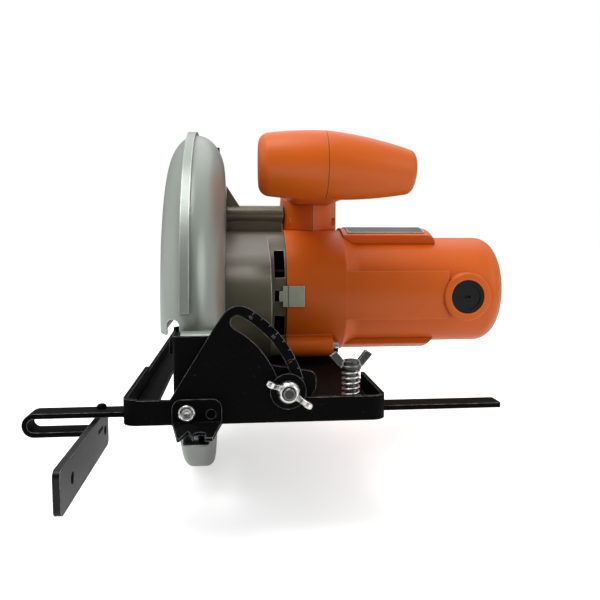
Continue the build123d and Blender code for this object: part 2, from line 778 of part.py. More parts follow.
with BuildPart() as upper_guard:
    with BuildSketch(spindle_section):
        with Locations((guard_middle, guard_shoulder / 2)):
            Rectangle(guard_width, guard_shoulder)
        with Locations((guard_middle, guard_shoulder)):
            Ellipse(guard_width / 2, guard_crown)
    revolve(axis=spindle_axis)
    for rib_axis, rib_sweep in ((spindle_axis, guard_rib_front), (spindle_axis.reverse(), guard_rib_rear)):
        with BuildSketch(spindle_section):
            with Locations((guard_rib_left + guard_rib_width / 2, guard_radius)):
                Rectangle(guard_rib_width, 2 * guard_rib_height)
        revolve(axis=rib_axis, revolution_arc=rib_sweep)
    with BuildSketch(Plane.YZ.offset(rear_lug_left)):
        with Locations((depth_clamp_y, depth_clamp_z)):
            Circle(rear_lug_radius)
        with BuildLine():
            Polyline(*rear_lug_points, close=True)
        make_face()
    extrude(amount=rear_lug_right - rear_lug_left)
    lug_x = (front_lug_left, front_lug_right)
    lug_y = (depth_y - lug_root, spindle_y - guard_radius + lug_reach)
    block(lug_x, lug_y, (depth_z - lug_drop, front_lug_top))
    rod_x(*lug_x, depth_y, depth_z, front_lug_radius)
    with BuildSketch(spindle_section):
        with Locations((guard_middle, guard_shoulder / 2)):
            Rectangle(guard_width - 2 * guard_wall, guard_shoulder)
        with Locations((guard_middle, guard_shoulder)):
            Ellipse(guard_width / 2 - guard_wall, guard_crown - guard_wall)
    revolve(axis=spindle_axis, mode=Mode.SUBTRACT)
    side_x = (guard_left - cut_over, guard_right + cut_over)
    below = (-guard_radius, guard_edge_z)
    block(side_x, (lug_y[1], channel_rear), below, Mode.SUBTRACT)
    block((guard_left - cut_over, front_lug_left), (cut_front, 0.0), below, Mode.SUBTRACT)
    block((guard_left - cut_over, rear_lug_left), (0.0, cut_rear), below, Mode.SUBTRACT)
    block((front_lug_right, 0.0), (cut_front, 0.0), below, Mode.SUBTRACT)
    block(side_x, (cut_front, depth_y - front_lug_radius), below, Mode.SUBTRACT)
    lug_bottom = depth_clamp_z - rear_lug_radius
    block(side_x, (cut_front, cut_rear), (-guard_radius, lug_bottom), Mode.SUBTRACT)
    left_wall = (guard_left - cut_over, guard_left + guard_wall + cut_over)
    rod_x(*left_wall, spindle_y, spindle_z, guard_arch, Mode.SUBTRACT)
    nose_hole = nose_radius + loose_gap
    right_wall = (guard_right - guard_wall - cut_over, guard_right + cut_over)
    rod_x(*right_wall, spindle_y, spindle_z, nose_hole, Mode.SUBTRACT)
    front_y = spindle_y - guard_radius
    notch_y = (front_y - cut_over, front_y + notch_reach)
    rod_y(*notch_y, notch_x, notch_top - notch_half, notch_half, Mode.SUBTRACT)
    notch_width = (notch_x - notch_half, notch_x + notch_half)
    notch_z = (guard_edge_z - cut_over, notch_top - notch_half)
    block(notch_width, notch_y, notch_z, Mode.SUBTRACT)
    rod_x(*lug_x, depth_y, depth_z, depth_pin_radius + running_gap, Mode.SUBTRACT)
    clamp_hole = depth_bolt_radius + running_gap
    rod_x(rear_lug_left, rear_lug_right, depth_clamp_y, depth_clamp_z, clamp_hole, Mode.SUBTRACT)
    for screw_y, screw_z in guard_screw_places:
        rod_x(guard_right - guard_wall, guard_right, screw_y, screw_z, guard_screw_radius, Mode.SUBTRACT)
save(upper_guard.part, "upper_guard")

# Lower guard: thin channel that swings about the nose of the gear housing
nose_bore = nose_radius + running_gap
with BuildPart() as lower_guard:
    with BuildSketch(half_section(spindle_y, spindle_z, lower_start)):
        middle_x = (lower_left + lower_right) / 2
        with Locations((middle_x, (lower_inner + lower_radius) / 2)):
            Rectangle(lower_right - lower_left, lower_radius - lower_inner)
        fillet(vertices().group_by(Axis.Y)[-1], radius=lower_round)
        channel_width = lower_right - lower_left - 2 * lower_wall
        channel_top = lower_radius - lower_wall
        with Locations((middle_x, channel_top / 2)):
            Rectangle(channel_width, channel_top, mode=Mode.SUBTRACT)
        with Locations((lower_right - lower_wall / 2, (hub_radius + lower_inner) / 2)):
            Rectangle(lower_wall, lower_inner - hub_radius)
    revolve(axis=spindle_axis, revolution_arc=lower_sweep)
    rod_x(lower_right - lower_wall, hub_right, spindle_y, spindle_z, hub_radius)
    rod_x(lower_right - lower_wall, hub_right, spindle_y, spindle_z, nose_bore, Mode.SUBTRACT)
save(lower_guard.part, "lower_guard")

# Gear housing: gear case, nose for the lower guard, fan skirt and the boss to the handle
skirt_left = 10.0
spindle_bearing_radius = 16.0
spindle_bearing_left = -24.0
spindle_bearing_right = -14.0
nose_opening = 12.5
retainer_left = -26.8
retainer_right = -25.8
retainer_root = 19.5
retainer_outer = 22.5
retainer_mouth = 2.5
top_boss_y = 54.0
top_boss_z = 106.0
top_boss_radius = 7.0
gusset_height = 14.5
gusset_reach = 10.0
gusset_half = 4.0
gusset_sink = 1.0
web_half = 4.9
vent_left = 16.5
vent_right = 23.5
vent_heights = ((62.0, 80.0), (46.0, 53.5), (21.5, 36.0))
vent_inner = 22.0
vent_outer = 60.0
retainer_over = 1.0
housing_screw_out = 6.8
housing_screw_ring = gear_case_motor_radius + housing_screw_out
housing_screw_angles = (228, 312)
housing_screw_radius = 2.1
housing_lug_radius = 6.5
lug_inward = 0.2
post_left = handle_x - post_half
link_screw_radius = 2.5
link_screw_left = 4.0
link_head_radius = 3.9
link_head_height = 3.0
link_seat = handle_x - handle_half + handle_wall
housing_screw_places = [
    (
        motor_y + housing_screw_ring * cos(radians(angle)),
        motor_z + housing_screw_ring * sin(radians(angle)),
    )
    for angle in housing_screw_angles
]
with BuildPart() as gear_housing:
    with BuildSketch(Plane.YZ.offset(guard_right)):
        with Locations((spindle_y, spindle_z)):
            Circle(gear_case_spindle_radius)
        with Locations((motor_y, motor_z)):
            Circle(gear_case_motor_radius)
        make_hull()
    extrude(amount=gear_case_end - guard_right)
    rod_x(skirt_left, gear_case_right, motor_y, motor_z, gear_case_motor_radius)
    rod_x(guard_right, post_left, top_boss_y, top_boss_z, top_boss_radius)
    web_y = (top_boss_y - web_half, top_boss_y + web_half)
    block((guard_right, gear_case_right), web_y, (motor_z, top_boss_z))
    with BuildSketch(Plane.XZ.offset(-top_boss_y)):
        gusset_z = top_boss_z + top_boss_radius
        with BuildLine():
            Polyline(
                (guard_right, top_boss_z),
                (guard_right, gusset_z + gusset_height),
                (guard_right + gusset_reach, gusset_z - gusset_sink),
                (guard_right + gusset_reach, top_boss_z),
                close=True,
            )
        make_face()
    extrude(amount=gusset_half, both=True)
    rod_x(nose_end, guard_right, spindle_y, spindle_z, nose_radius)
    for screw_y, screw_z in housing_screw_places:
        inward_y = screw_y + (motor_y - screw_y) * lug_inward
        inward_z = screw_z + (motor_z - screw_z) * lug_inward
        rod_x(gear_case_end, gear_case_right, screw_y, screw_z, housing_lug_radius)
        rod_x(gear_case_end, gear_case_right, inward_y, inward_z, housing_lug_radius)
    with BuildSketch(Plane.YZ.offset(gear_floor)):
        with Locations((spindle_y, spindle_z)):
            Circle(gear_case_spindle_radius - gear_case_wall)
        with Locations((motor_y, motor_z)):
            Circle(gear_case_motor_radius - gear_case_wall)
        make_hull()
    extrude(amount=gear_case_end - gear_floor, mode=Mode.SUBTRACT)
    skirt_bore = gear_case_motor_radius - gear_case_wall
    rod_x(gear_floor, gear_case_right, motor_y, motor_z, skirt_bore, Mode.SUBTRACT)
    rod_x(spindle_bearing_left, gear_floor, spindle_y, spindle_z, spindle_bearing_radius, Mode.SUBTRACT)
    rod_x(nose_end, spindle_bearing_left, spindle_y, spindle_z, nose_opening, Mode.SUBTRACT)
    with BuildSketch(spindle_section):
        groove_top = nose_radius + retainer_over
        with Locations(((retainer_left + retainer_right) / 2, (retainer_root + groove_top) / 2)):
            Rectangle(retainer_right - retainer_left, groove_top - retainer_root)
    revolve(axis=spindle_axis, mode=Mode.SUBTRACT)
    for bottom, top in vent_heights:
        for near, far in ((-vent_outer, -vent_inner), (vent_inner, vent_outer)):
            vent_y = (motor_y + near, motor_y + far)
            block((vent_left, vent_right), vent_y, (bottom, top), Mode.SUBTRACT)
    for screw_y, screw_z in housing_screw_places:
        rod_x(gear_case_end, gear_case_right, screw_y, screw_z, housing_screw_radius, Mode.SUBTRACT)
    for screw_y, screw_z in guard_screw_places:
        rod_x(guard_right, gear_floor, screw_y, screw_z, guard_screw_radius, Mode.SUBTRACT)
    rod_x(link_screw_left, post_left, top_boss_y, top_boss_z, link_screw_radius, Mode.SUBTRACT)
save(gear_housing.part, "gear_housing")

# Bearing plate: closes the gear case and carries the inner bearings
inner_bearing_radius = 11.0
shaft_bearing_radius = 13.0
inner_bearing_width = 7.0
inner_bearing_right = bearing_plate_left + inner_bearing_width
shaft_bearing_left = gear_case_end - inner_bearing_width
shaft_opening = 9.2
with BuildPart() as bearing_plate:
    with BuildSketch(Plane.YZ.offset(bearing_plate_left)):
        with Locations((spindle_y, spindle_z)):
            Circle(gear_case_spindle_radius - gear_case_wall)
        with Locations((motor_y, motor_z)):
            Circle(gear_case_motor_radius - gear_case_wall)
        make_hull()
    extrude(amount=gear_case_end - bearing_plate_left)
    rod_x(
        bearing_plate_left, inner_bearing_right, spindle_y, spindle_z, inner_bearing_radius, Mode.SUBTRACT
    )
    rod_x(shaft_bearing_left, gear_case_end, motor_y, motor_z, shaft_bearing_radius, Mode.SUBTRACT)
    rod_x(bearing_plate_left, gear_case_end, motor_y, motor_z, shaft_opening, Mode.SUBTRACT)
save(bearing_plate.part, "bearing_plate")

# Screws that hold the guard to the gear housing, heads inside the guard
guard_head_radius = 3.4
guard_head_height = 2.2
with BuildPart() as guard_screws:
    for screw_y, screw_z in guard_screw_places:
        head_right = guard_right - guard_wall
        rod_x(head_right, gear_floor, screw_y, screw_z, guard_screw_radius)
        rod_x(head_right - guard_head_height, head_right, screw_y, screw_z, guard_head_radius)
save(guard_screws.part, "guard_screws")

# Retaining ring and torsion spring of the lower guard
with BuildPart() as guard_retainer:
    rod_x(retainer_left, retainer_right, spindle_y, spindle_z, retainer_outer)
    rod_x(retainer_left, retainer_right, spindle_y, spindle_z, retainer_root, Mode.SUBTRACT)
    mouth_y = (spindle_y - retainer_mouth, spindle_y + retainer_mouth)
    mouth_z = (spindle_z, spindle_z + retainer_outer)
    block((retainer_left, retainer_right), mouth_y, mouth_z, Mode.SUBTRACT)
save(guard_retainer.part, "guard_retainer")

return_wire = 0.5
return_radius = 25.2
return_pitch = 1.5
return_turns = 2
return_left = -23.1
return_centre = (return_left, spindle_y, spindle_z)
return_places = coil_points(return_centre, return_radius, return_pitch, return_turns, "x", 0.25)
with BuildPart() as guard_spring:
    with BuildLine():
        coil_line(return_places)
    with BuildSketch(Plane(origin=return_places[0][0], z_dir=return_places[0][1])):
        Circle(return_wire)
    sweep()
save(guard_spring.part, "guard_spring")
fine_places = coil_points(return_centre, return_radius, return_pitch, return_turns, "x", 0.0625)
print("guard spring least gap", round(least_gap(fine_places, return_wire, 16), 2))

# Blade with gullets, relief slots and brazed tips
blade_thick = 1.8
blade_teeth = 24
tip_stand = 3.0
blade_rim = blade_radius - tip_stand
gullet_depth = 11.0
tip_width = 2.6
tip_length = 6.0
tip_thick = 2.4
blade_bore = 8.05
relief_radius = 72.0
relief_width = 1.6
relief_length = 14.0
relief_count = 4
gullet_face = 2.0
gullet_floor = 3.0
gullet_back = 8.0
gullet_mouth = 12.0
blade_left = blade_x - blade_thick / 2
blade_right = blade_x + blade_thick / 2
tip_middle = blade_radius - tip_length / 2
tooth_turn = 360 / blade_teeth
with BuildPart() as blade:
    with BuildSketch(spindle_plane(blade_left)):
        Circle(blade_rim)
        with PolarLocations(0, blade_teeth):
            with BuildLine():
                gullet_foot = blade_rim - gullet_depth
                Polyline(
                    (blade_radius, tip_thick),
                    (gullet_foot + gullet_face, tip_thick),
                    (gullet_foot, tip_thick + gullet_floor),
                    (gullet_foot + gullet_face, tip_thick + gullet_back),
                    (blade_radius, tip_thick + gullet_mouth),
                    close=True,
                )
            make_face(mode=Mode.SUBTRACT)
        with PolarLocations(tip_middle, blade_teeth):
            with Locations((0, tip_thick / 2)):
                Rectangle(tip_length, tip_thick, mode=Mode.SUBTRACT)
        with PolarLocations(relief_radius, relief_count, start_angle=tooth_turn / 2):
            SlotOverall(relief_length, relief_width, mode=Mode.SUBTRACT)
        Circle(blade_bore, mode=Mode.SUBTRACT)
    extrude(amount=blade_thick)
save(blade.part, "blade")

with BuildPart() as blade_tips:
    with BuildSketch(spindle_plane(blade_x - tip_width / 2)):
        with PolarLocations(tip_middle, blade_teeth):
            with Locations((0, tip_thick / 2)):
                Rectangle(tip_length, tip_thick)
    extrude(amount=tip_width)
save(blade_tips.part, "blade_tips")

# Spindle, flanges, blade bolt and spindle gear
flange_radius = 21.0
outer_flange_thick = 3.0
inner_flange_thick = 4.0
spigot_radius = 8.0
spindle_radius = 6.0
spindle_tail_radius = 4.0
spindle_collar_radius = 8.5
flange_hub_radius = 9.0
gear_left = -3.0
gear_right = 4.0
bolt_radius = 4.0
bolt_flats = 13.0
bolt_head_height = 5.3
bolt_collar_radius = 9.0
bolt_collar_height = 1.5
bolt_end = -17.0
flange_chamfer = 1.5
spigot_short = 0.2
spindle_short = 0.6
bolt_spare = 1.0
end_gap = 0.1
tail_short = 0.3
spindle_end = blade_left + spindle_short
outer_flange_left = blade_left - outer_flange_thick
inner_flange_right = blade_right + inner_flange_thick
with BuildPart() as inner_flange:
    rod_x(blade_right, inner_flange_right, spindle_y, spindle_z, flange_radius)
    rod_x(blade_left + spigot_short, blade_right, spindle_y, spindle_z, spigot_radius)
    hub_end = spindle_bearing_left - end_gap
    rod_x(inner_flange_right, hub_end, spindle_y, spindle_z, flange_hub_radius)
    rod_x(blade_left, spindle_bearing_left, spindle_y, spindle_z, spindle_radius, Mode.SUBTRACT)
save(inner_flange.part, "inner_flange")

with BuildPart() as outer_flange:
    rod_x(outer_flange_left, blade_left, spindle_y, spindle_z, flange_radius)
    outer_rim = edges().filter_by(GeomType.CIRCLE).group_by(Axis.X)[0]
    chamfer(outer_rim, length=flange_chamfer)
    rod_x(outer_flange_left, blade_left, spindle_y, spindle_z, bolt_radius + thread_gap, Mode.SUBTRACT)
save(outer_flange.part, "outer_flange")

with BuildPart() as blade_bolt:
    collar_left = outer_flange_left - bolt_collar_height
    rod_x(collar_left, outer_flange_left, spindle_y, spindle_z, bolt_collar_radius)
    rod_x(outer_flange_left, bolt_end, spindle_y, spindle_z, bolt_radius)
    with BuildSketch(spindle_plane(collar_left)):
        RegularPolygon(bolt_flats / 2, 6, major_radius=False)
    extrude(amount=-bolt_head_height)
save(blade_bolt.part, "blade_bolt")

with BuildPart() as spindle:
    rod_x(spindle_end, gear_right, spindle_y, spindle_z, spindle_radius)
    collar_start = spindle_bearing_right + end_gap
    rod_x(collar_start, gear_left, spindle_y, spindle_z, spindle_collar_radius)
    tail_end = inner_bearing_right - tail_short
    rod_x(gear_right, tail_end, spindle_y, spindle_z, spindle_tail_radius)
    rod_x(spindle_end, bolt_end + bolt_spare, spindle_y, spindle_z, bolt_radius, Mode.SUBTRACT)
save(spindle.part, "spindle")

# Gears: straight teeth with backlash, a gear gap facing a pinion tooth
mesh_angle = degrees(atan2(motor_rise, motor_y - spindle_y))
gear_pitch_radius = gear_module * gear_teeth / 2
pinion_pitch_radius = gear_module * pinion_teeth / 2
addendum = 0.8 * gear_module
dedendum = 1.25 * gear_module
tooth_foot_half = 0.78 * gear_module
tooth_pitch_half = 0.58 * gear_module
tooth_tip_half = 0.28 * gear_module
tooth_sink = 0.3
lightening_holes = 6
lightening_ring = 18.27
lightening_radius = 4.5


def tooth_points(pitch_radius):
    """Outline of one tooth that points along the local X axis."""
    foot = pitch_radius - dedendum - tooth_sink
    tip = pitch_radius + addendum
    upper = [(foot, tooth_foot_half), (pitch_radius, tooth_pitch_half), (tip, tooth_tip_half)]
    lower = [(radius, -half) for radius, half in reversed(upper)]
    return upper + lower


with BuildPart() as spindle_gear:
    with BuildSketch(spindle_plane(gear_left)):
        Circle(gear_pitch_radius - dedendum)
        with PolarLocations(0, gear_teeth, start_angle=mesh_angle + 180 / gear_teeth):
            with BuildLine():
                Polyline(*tooth_points(gear_pitch_radius), close=True)
            make_face()
        Circle(spindle_radius, mode=Mode.SUBTRACT)
        with PolarLocations(lightening_ring, lightening_holes):
            Circle(lightening_radius, mode=Mode.SUBTRACT)
    extrude(amount=gear_right - gear_left)
save(spindle_gear.part, "spindle_gear")

# Armature: shaft with the pinion, laminated core, windings, commutator and fan
shaft_radius = 5.0
shaft_core_radius = 6.0
shaft_tail_radius = 4.0
core_left = 64.0
core_right = 116.0
core_radius = 22.0
core_slots = 12
commutator_left = 138.0
commutator_right = 160.0
commutator_radius = 15.0
tail_left = 170.0
tail_right = 177.0
shaft_over = 1.0
fan_left = 16.0
fan_right = 28.0
fan_radius = 37.0
fan_blades = 14
fan_blade_thick = 1.6
fan_blade_tip = 0.5
pinion_over = 0.5
core_slot_ring = 18.0
core_slot_length = 7.0
core_slot_width = 3.4
core_mouth_depth = 4.0
core_mouth_width = 1.4
segment_depth = 2.0
segment_gap = 0.7
with BuildPart() as armature_shaft:
    with BuildSketch(motor_plane(gear_left - pinion_over)):
        Circle(pinion_pitch_radius - dedendum)
        with PolarLocations(0, pinion_teeth, start_angle=mesh_angle + 180):
            with BuildLine():
                Polyline(*tooth_points(pinion_pitch_radius), close=True)
            make_face()
    extrude(amount=gear_right - gear_left + 2 * pinion_over)
    rod_x(gear_right + pinion_over, core_left, motor_y, motor_z, shaft_radius)
    rod_x(fan_right, commutator_right, motor_y, motor_z, shaft_core_radius)
    rod_x(commutator_right, tail_left, motor_y, motor_z, shaft_radius)
    rod_x(tail_left, tail_right + shaft_over, motor_y, motor_z, shaft_tail_radius)
save(armature_shaft.part, "armature_shaft")

with BuildPart() as armature_core:
    with BuildSketch(motor_plane(core_left)):
        Circle(core_radius)
        with PolarLocations(core_slot_ring, core_slots):
            SlotOverall(core_slot_length, core_slot_width, mode=Mode.SUBTRACT)
        with PolarLocations(core_radius, core_slots):
            Rectangle(core_mouth_depth, core_mouth_width, mode=Mode.SUBTRACT)
        Circle(shaft_core_radius, mode=Mode.SUBTRACT)
    extrude(amount=core_right - core_left)
save(armature_core.part, "armature_core")

winding_length = 9.0
winding_radius = 19.5
winding_edge = 17.0
winding_bevel = 2.0
with BuildPart() as armature_windings:
    for start in (core_left - winding_length, core_right):
        with BuildSketch(motor_section):
            with BuildLine():
                Polyline(
                    (start, shaft_core_radius),
                    (start, winding_edge),
                    (start + winding_bevel, winding_radius),
                    (start + winding_length - winding_bevel, winding_radius),
                    (start + winding_length, winding_edge),
                    (start + winding_length, shaft_core_radius),
                    close=True,
                )
            make_face()
        revolve(axis=motor_axis)
save(armature_windings.part, "armature_windings")

with BuildPart() as commutator:
    with BuildSketch(motor_plane(commutator_left)):
        Circle(commutator_radius)
        with PolarLocations(commutator_radius, 2 * core_slots):
            Rectangle(segment_depth, segment_gap, mode=Mode.SUBTRACT)
        Circle(shaft_core_radius, mode=Mode.SUBTRACT)
    extrude(amount=commutator_right - commutator_left)
save(commutator.part, "commutator")

fan_hub_radius = 9.0
fan_disc = 1.6
with BuildPart() as cooling_fan:
    rod_x(fan_left, fan_right, motor_y, motor_z, fan_hub_radius)
    rod_x(fan_right - fan_disc, fan_right, motor_y, motor_z, fan_radius)
    with BuildSketch(motor_plane(fan_left)):
        with PolarLocations((fan_radius + fan_hub_radius) / 2 - fan_blade_tip, fan_blades):
            Rectangle(fan_radius - fan_hub_radius, fan_blade_thick)
    extrude(amount=fan_right - fan_left)
    rod_x(fan_left, fan_right, motor_y, motor_z, shaft_radius, Mode.SUBTRACT)
save(cooling_fan.part, "cooling_fan")

# Ball bearings, each as one closed ring with a running fit on its shaft
bearing_groove = 0.6
race_half = 1.5


def bearing(left, right, y, z, outer, inner):
    """Bearing ring with a shallow groove between its races on both faces."""
    rod_x(left, right, y, z, outer)
    race = (outer + inner) / 2
    for start in (left, right - bearing_groove):
        rod_x(start, start + bearing_groove, y, z, race + race_half, Mode.SUBTRACT)
        rod_x(start, start + bearing_groove, y, z, race - race_half)
    rod_x(left, right, y, z, inner + running_gap, Mode.SUBTRACT)


with BuildPart() as spindle_bearings:
    bearing(
        spindle_bearing_left,
        spindle_bearing_right,
        spindle_y,
        spindle_z,
        spindle_bearing_radius,
        spindle_radius,
    )
    bearing(
        bearing_plate_left,
        inner_bearing_right,
        spindle_y,
        spindle_z,
        inner_bearing_radius,
        spindle_tail_radius,
    )
save(spindle_bearings.part, "spindle_bearings")

tail_bearing_radius = 11.0
with BuildPart() as armature_bearings:
    bearing(shaft_bearing_left, gear_case_end, motor_y, motor_z, shaft_bearing_radius, shaft_radius)
    bearing(tail_left, tail_right, motor_y, motor_z, tail_bearing_radius, shaft_tail_radius)
save(armature_bearings.part, "armature_bearings")

# Motor housing: barrel with a flange, flat pads, brush bosses and screw bosses
motor_taper_right = 74.0
motor_pad_top = 45.7
motor_pad_right = 134.0
motor_pad_half = 28.0
motor_pad_round = 7.0
motor_pad_left = handle_x + post_half + loose_gap
motor_pad_bottom = 43.0
motor_band_half = 22.7
motor_band_drop = 1.6
motor_band_right = 138.0
motor_band_round = 1.2
brush_x = 150.0
brush_drop = 2.2
brush_z = motor_z - brush_drop
brush_boss_radius = 16.6
brush_boss_reach = 45.6
brush_cap_radius = 11.7
brush_cap_depth = 5.0
brush_holder_radius = 7.8
chamber_radius = 40.5
chamber_right = 52.0
screw_boss_radius = 7.3
screw_boss_right = 57.0
tongue_half = 6.0
top_tongue_y = (42.0, 60.0)
top_tongue_top = 112.0
rear_tongue_z = (46.0, 58.0)
rear_tongue_rear = 104.0
band_sink = 0.1
motor_band_radius = motor_flange_radius - band_sink
motor_band_left = motor_flange_right - 2 * motor_band_round
motor_band = (motor_band_half, motor_band_radius, motor_band_left, motor_band_right, motor_band_round)
motor_sectors = (
    (90.0, motor_pad_half, motor_pad_top, motor_pad_left, motor_pad_right, motor_pad_round),
    (270.0, motor_pad_half, motor_pad_bottom, motor_pad_left, motor_pad_right, motor_pad_round),
    (-motor_band_drop, *motor_band),
    (180.0 + motor_band_drop, *motor_band),
)
bore_right = motor_right - motor_end_wall
bearing_boss_radius = 14.0
inlet_ring = 24.0
inlet_count = 8
inlet_slot_length = 12.0
inlet_slot_width = 3.6
step_round = 10.0
boss_rim_round = 1.5
tail_seat_left = tail_left - 2.0
tail_seat_right = tail_right + 1.5
holder_spare = 1.0
with BuildPart() as motor_housing:
    with BuildSketch(motor_section):
        with BuildLine():
            Polyline(
                (gear_case_right, 0),
                (gear_case_right, motor_flange_radius),
                (motor_flange_right, motor_flange_radius),
                (motor_taper_right, motor_radius),
                (motor_right, motor_radius),
                (motor_right, 0),
                close=True,
            )
        make_face()
        end_corner = vertices().group_by(Axis.X)[-1].sort_by(Axis.Y)[-1]
        fillet(end_corner, radius=motor_end_round)
        step_corner = vertices().filter_by(lambda v: abs(v.X - motor_taper_right) < 0.1)
        fillet(step_corner, radius=step_round)
    revolve(axis=motor_axis)
    for middle, half, radius, left, right, end_round in motor_sectors:
        with BuildSketch(half_section(motor_y, motor_z, middle - half)):
            with Locations((left, motor_bore)):
                Rectangle(right - left, radius - motor_bore, align=(Align.MIN, Align.MIN))
            fillet(vertices().group_by(Axis.X)[-1].sort_by(Axis.Y)[-1], radius=end_round)
        revolve(axis=motor_axis, revolution_arc=2 * half)
    rod_y(motor_y - brush_boss_reach, motor_y + brush_boss_reach, brush_x, brush_z, brush_boss_radius)
    boss_rims = edges().filter_by(GeomType.CIRCLE).filter_by(
        lambda e: abs(abs(e.center().Y - motor_y) - brush_boss_reach) < 0.01
    )
    fillet(boss_rims, radius=boss_rim_round)
    for screw_y, screw_z in housing_screw_places:
        rod_x(gear_case_right, screw_boss_right, screw_y, screw_z, screw_boss_radius)
        inward_y = screw_y + (motor_y - screw_y) * lug_inward
        inward_z = screw_z + (motor_z - screw_z) * lug_inward
        rod_x(gear_case_right, screw_boss_right, inward_y, inward_z, screw_boss_radius)
    tongue_x = (handle_x - tongue_half, handle_x + tongue_half)
    block(tongue_x, top_tongue_y, (motor_z, top_tongue_top))
    block(tongue_x, (motor_y, rear_tongue_rear), rear_tongue_z)
    for screw_y, screw_z in tongue_screw_places:
        rod_x(*tongue_x, screw_y, screw_z, handle_screw_radius, Mode.SUBTRACT)
    rod_x(gear_case_right, chamber_right, motor_y, motor_z, chamber_radius, Mode.SUBTRACT)
    rod_x(chamber_right, bore_right, motor_y, motor_z, motor_bore, Mode.SUBTRACT)
    rod_x(tail_seat_left, bore_right, motor_y, motor_z, bearing_boss_radius)
    rod_x(tail_seat_left, tail_seat_right, motor_y, motor_z, tail_bearing_radius, Mode.SUBTRACT)
    holder_reach = brush_boss_reach + holder_spare
    holder_y = (motor_y - holder_reach, motor_y + holder_reach)
    rod_y(*holder_y, brush_x, brush_z, brush_holder_radius, Mode.SUBTRACT)
    cap_seat = brush_boss_reach - brush_cap_depth
    rod_y(motor_y - holder_reach, motor_y - cap_seat, brush_x, brush_z, brush_cap_radius, Mode.SUBTRACT)
    rod_y(motor_y + cap_seat, motor_y + holder_reach, brush_x, brush_z, brush_cap_radius, Mode.SUBTRACT)
    with BuildSketch(motor_plane(bore_right)):
        with PolarLocations(inlet_ring, inlet_count):
            SlotOverall(inlet_slot_length, inlet_slot_width)
    extrude(amount=motor_end_wall, mode=Mode.SUBTRACT)
    for screw_y, screw_z in housing_screw_places:
        rod_x(gear_case_right, screw_boss_right, screw_y, screw_z, housing_screw_radius, Mode.SUBTRACT)
save(motor_housing.part, "motor_housing")

# Screws that join the motor housing to the gear housing
housing_head_radius = 4.4
housing_head_height = 4.0
cross_length = 4.4
cross_width = 1.0
cross_depth = 1.5
with BuildPart() as housing_screws:
    for screw_y, screw_z in housing_screw_places:
        rod_x(gear_case_end, screw_boss_right, screw_y, screw_z, housing_screw_radius)
        head_right = screw_boss_right + housing_head_height
        rod_x(screw_boss_right, head_right, screw_y, screw_z, housing_head_radius)
    head_faces = faces().filter_by(Axis.X).group_by(Axis.X)[-1]
    for face in head_faces:
        with BuildSketch(Plane(origin=face.center(), x_dir=(0, 1, 0), z_dir=(1, 0, 0))):
            Rectangle(cross_length, cross_width)
            Rectangle(cross_width, cross_length)
        extrude(amount=-cross_depth, mode=Mode.SUBTRACT)
save(housing_screws.part, "housing_screws")

# Fan baffle between the fan and the field
baffle_left = 31.0
baffle_right = 33.0
baffle_opening = 24.0
with BuildPart() as fan_baffle:
    rod_x(baffle_left, baffle_right, motor_y, motor_z, chamber_radius)
    rod_x(baffle_left, baffle_right, motor_y, motor_z, baffle_opening, Mode.SUBTRACT)
save(fan_baffle.part, "fan_baffle")

# Field core with its two coils
air_gap = 0.6
field_bore = core_radius + air_gap
coil_inner = 24.5
coil_outer = 31.0
coil_length = 7.0
coil_half_angle = 55.0
coil_leg_angle = 14.0
with BuildPart() as field_core:
    with BuildSketch(motor_plane(core_left)):
        Circle(motor_bore)
        Circle(field_bore, mode=Mode.SUBTRACT)
        for middle in (90, 270):
            for side in (-1, 1):
                leg_middle = middle + side * (coil_half_angle - coil_leg_angle / 2)
                with BuildLine():
                    leg_start = leg_middle - coil_leg_angle / 2
                    outer_leg = CenterArc((0, 0), coil_outer, leg_start, coil_leg_angle)
                    inner_leg = CenterArc((0, 0), coil_inner, leg_start, coil_leg_angle)
                    Line(outer_leg @ 0, inner_leg @ 0)
                    Line(outer_leg @ 1, inner_leg @ 1)
                make_face(mode=Mode.SUBTRACT)
    extrude(amount=core_right - core_left)
save(field_core.part, "field_core")

with BuildPart() as field_coils:
    for middle in (90, 270):
        first = middle - coil_half_angle
        spans = ((core_left - coil_length, core_left), (core_right, core_right + coil_length))
        pieces = [(first, 2 * coil_half_angle, left, right) for left, right in spans]
        for start in (first, middle + coil_half_angle - coil_leg_angle):
            pieces.append((start, coil_leg_angle, core_left, core_right))
        for start, sweep, left, right in pieces:
            with BuildSketch(half_section(motor_y, motor_z, start)):
                with Locations(((left + right) / 2, (coil_inner + coil_outer) / 2)):
                    Rectangle(right - left, coil_outer - coil_inner)
            revolve(axis=motor_axis, revolution_arc=sweep)
save(field_coils.part, "field_coils")

# Brush gear: holders, carbon brushes and screw caps, one set at each side
brush_width = 6.0
brush_height = 9.0
brush_gap = 0.3
brush_length = 14.0
holder_inner = 19.0
brush_start = commutator_radius + brush_gap
holder_outer = brush_boss_reach - brush_cap_depth
with BuildPart() as brush_holders:
    for front, rear in ((-holder_outer, -holder_inner), (holder_inner, holder_outer)):
        rod_y(motor_y + front, motor_y + rear, brush_x, brush_z, brush_holder_radius)
        brush_x_range = (brush_x - brush_width / 2, brush_x + brush_width / 2)
        brush_z_range = (brush_z - brush_height / 2, brush_z + brush_height / 2)
        block(brush_x_range, (motor_y + front, motor_y + rear), brush_z_range, Mode.SUBTRACT)
save(brush_holders.part, "brush_holders")

with BuildPart() as carbon_brushes:
    for near in (-brush_start - brush_length, brush_start):
        block(brush_x_range, (motor_y + near, motor_y + near + brush_length), brush_z_range)
save(carbon_brushes.part, "carbon_brushes")

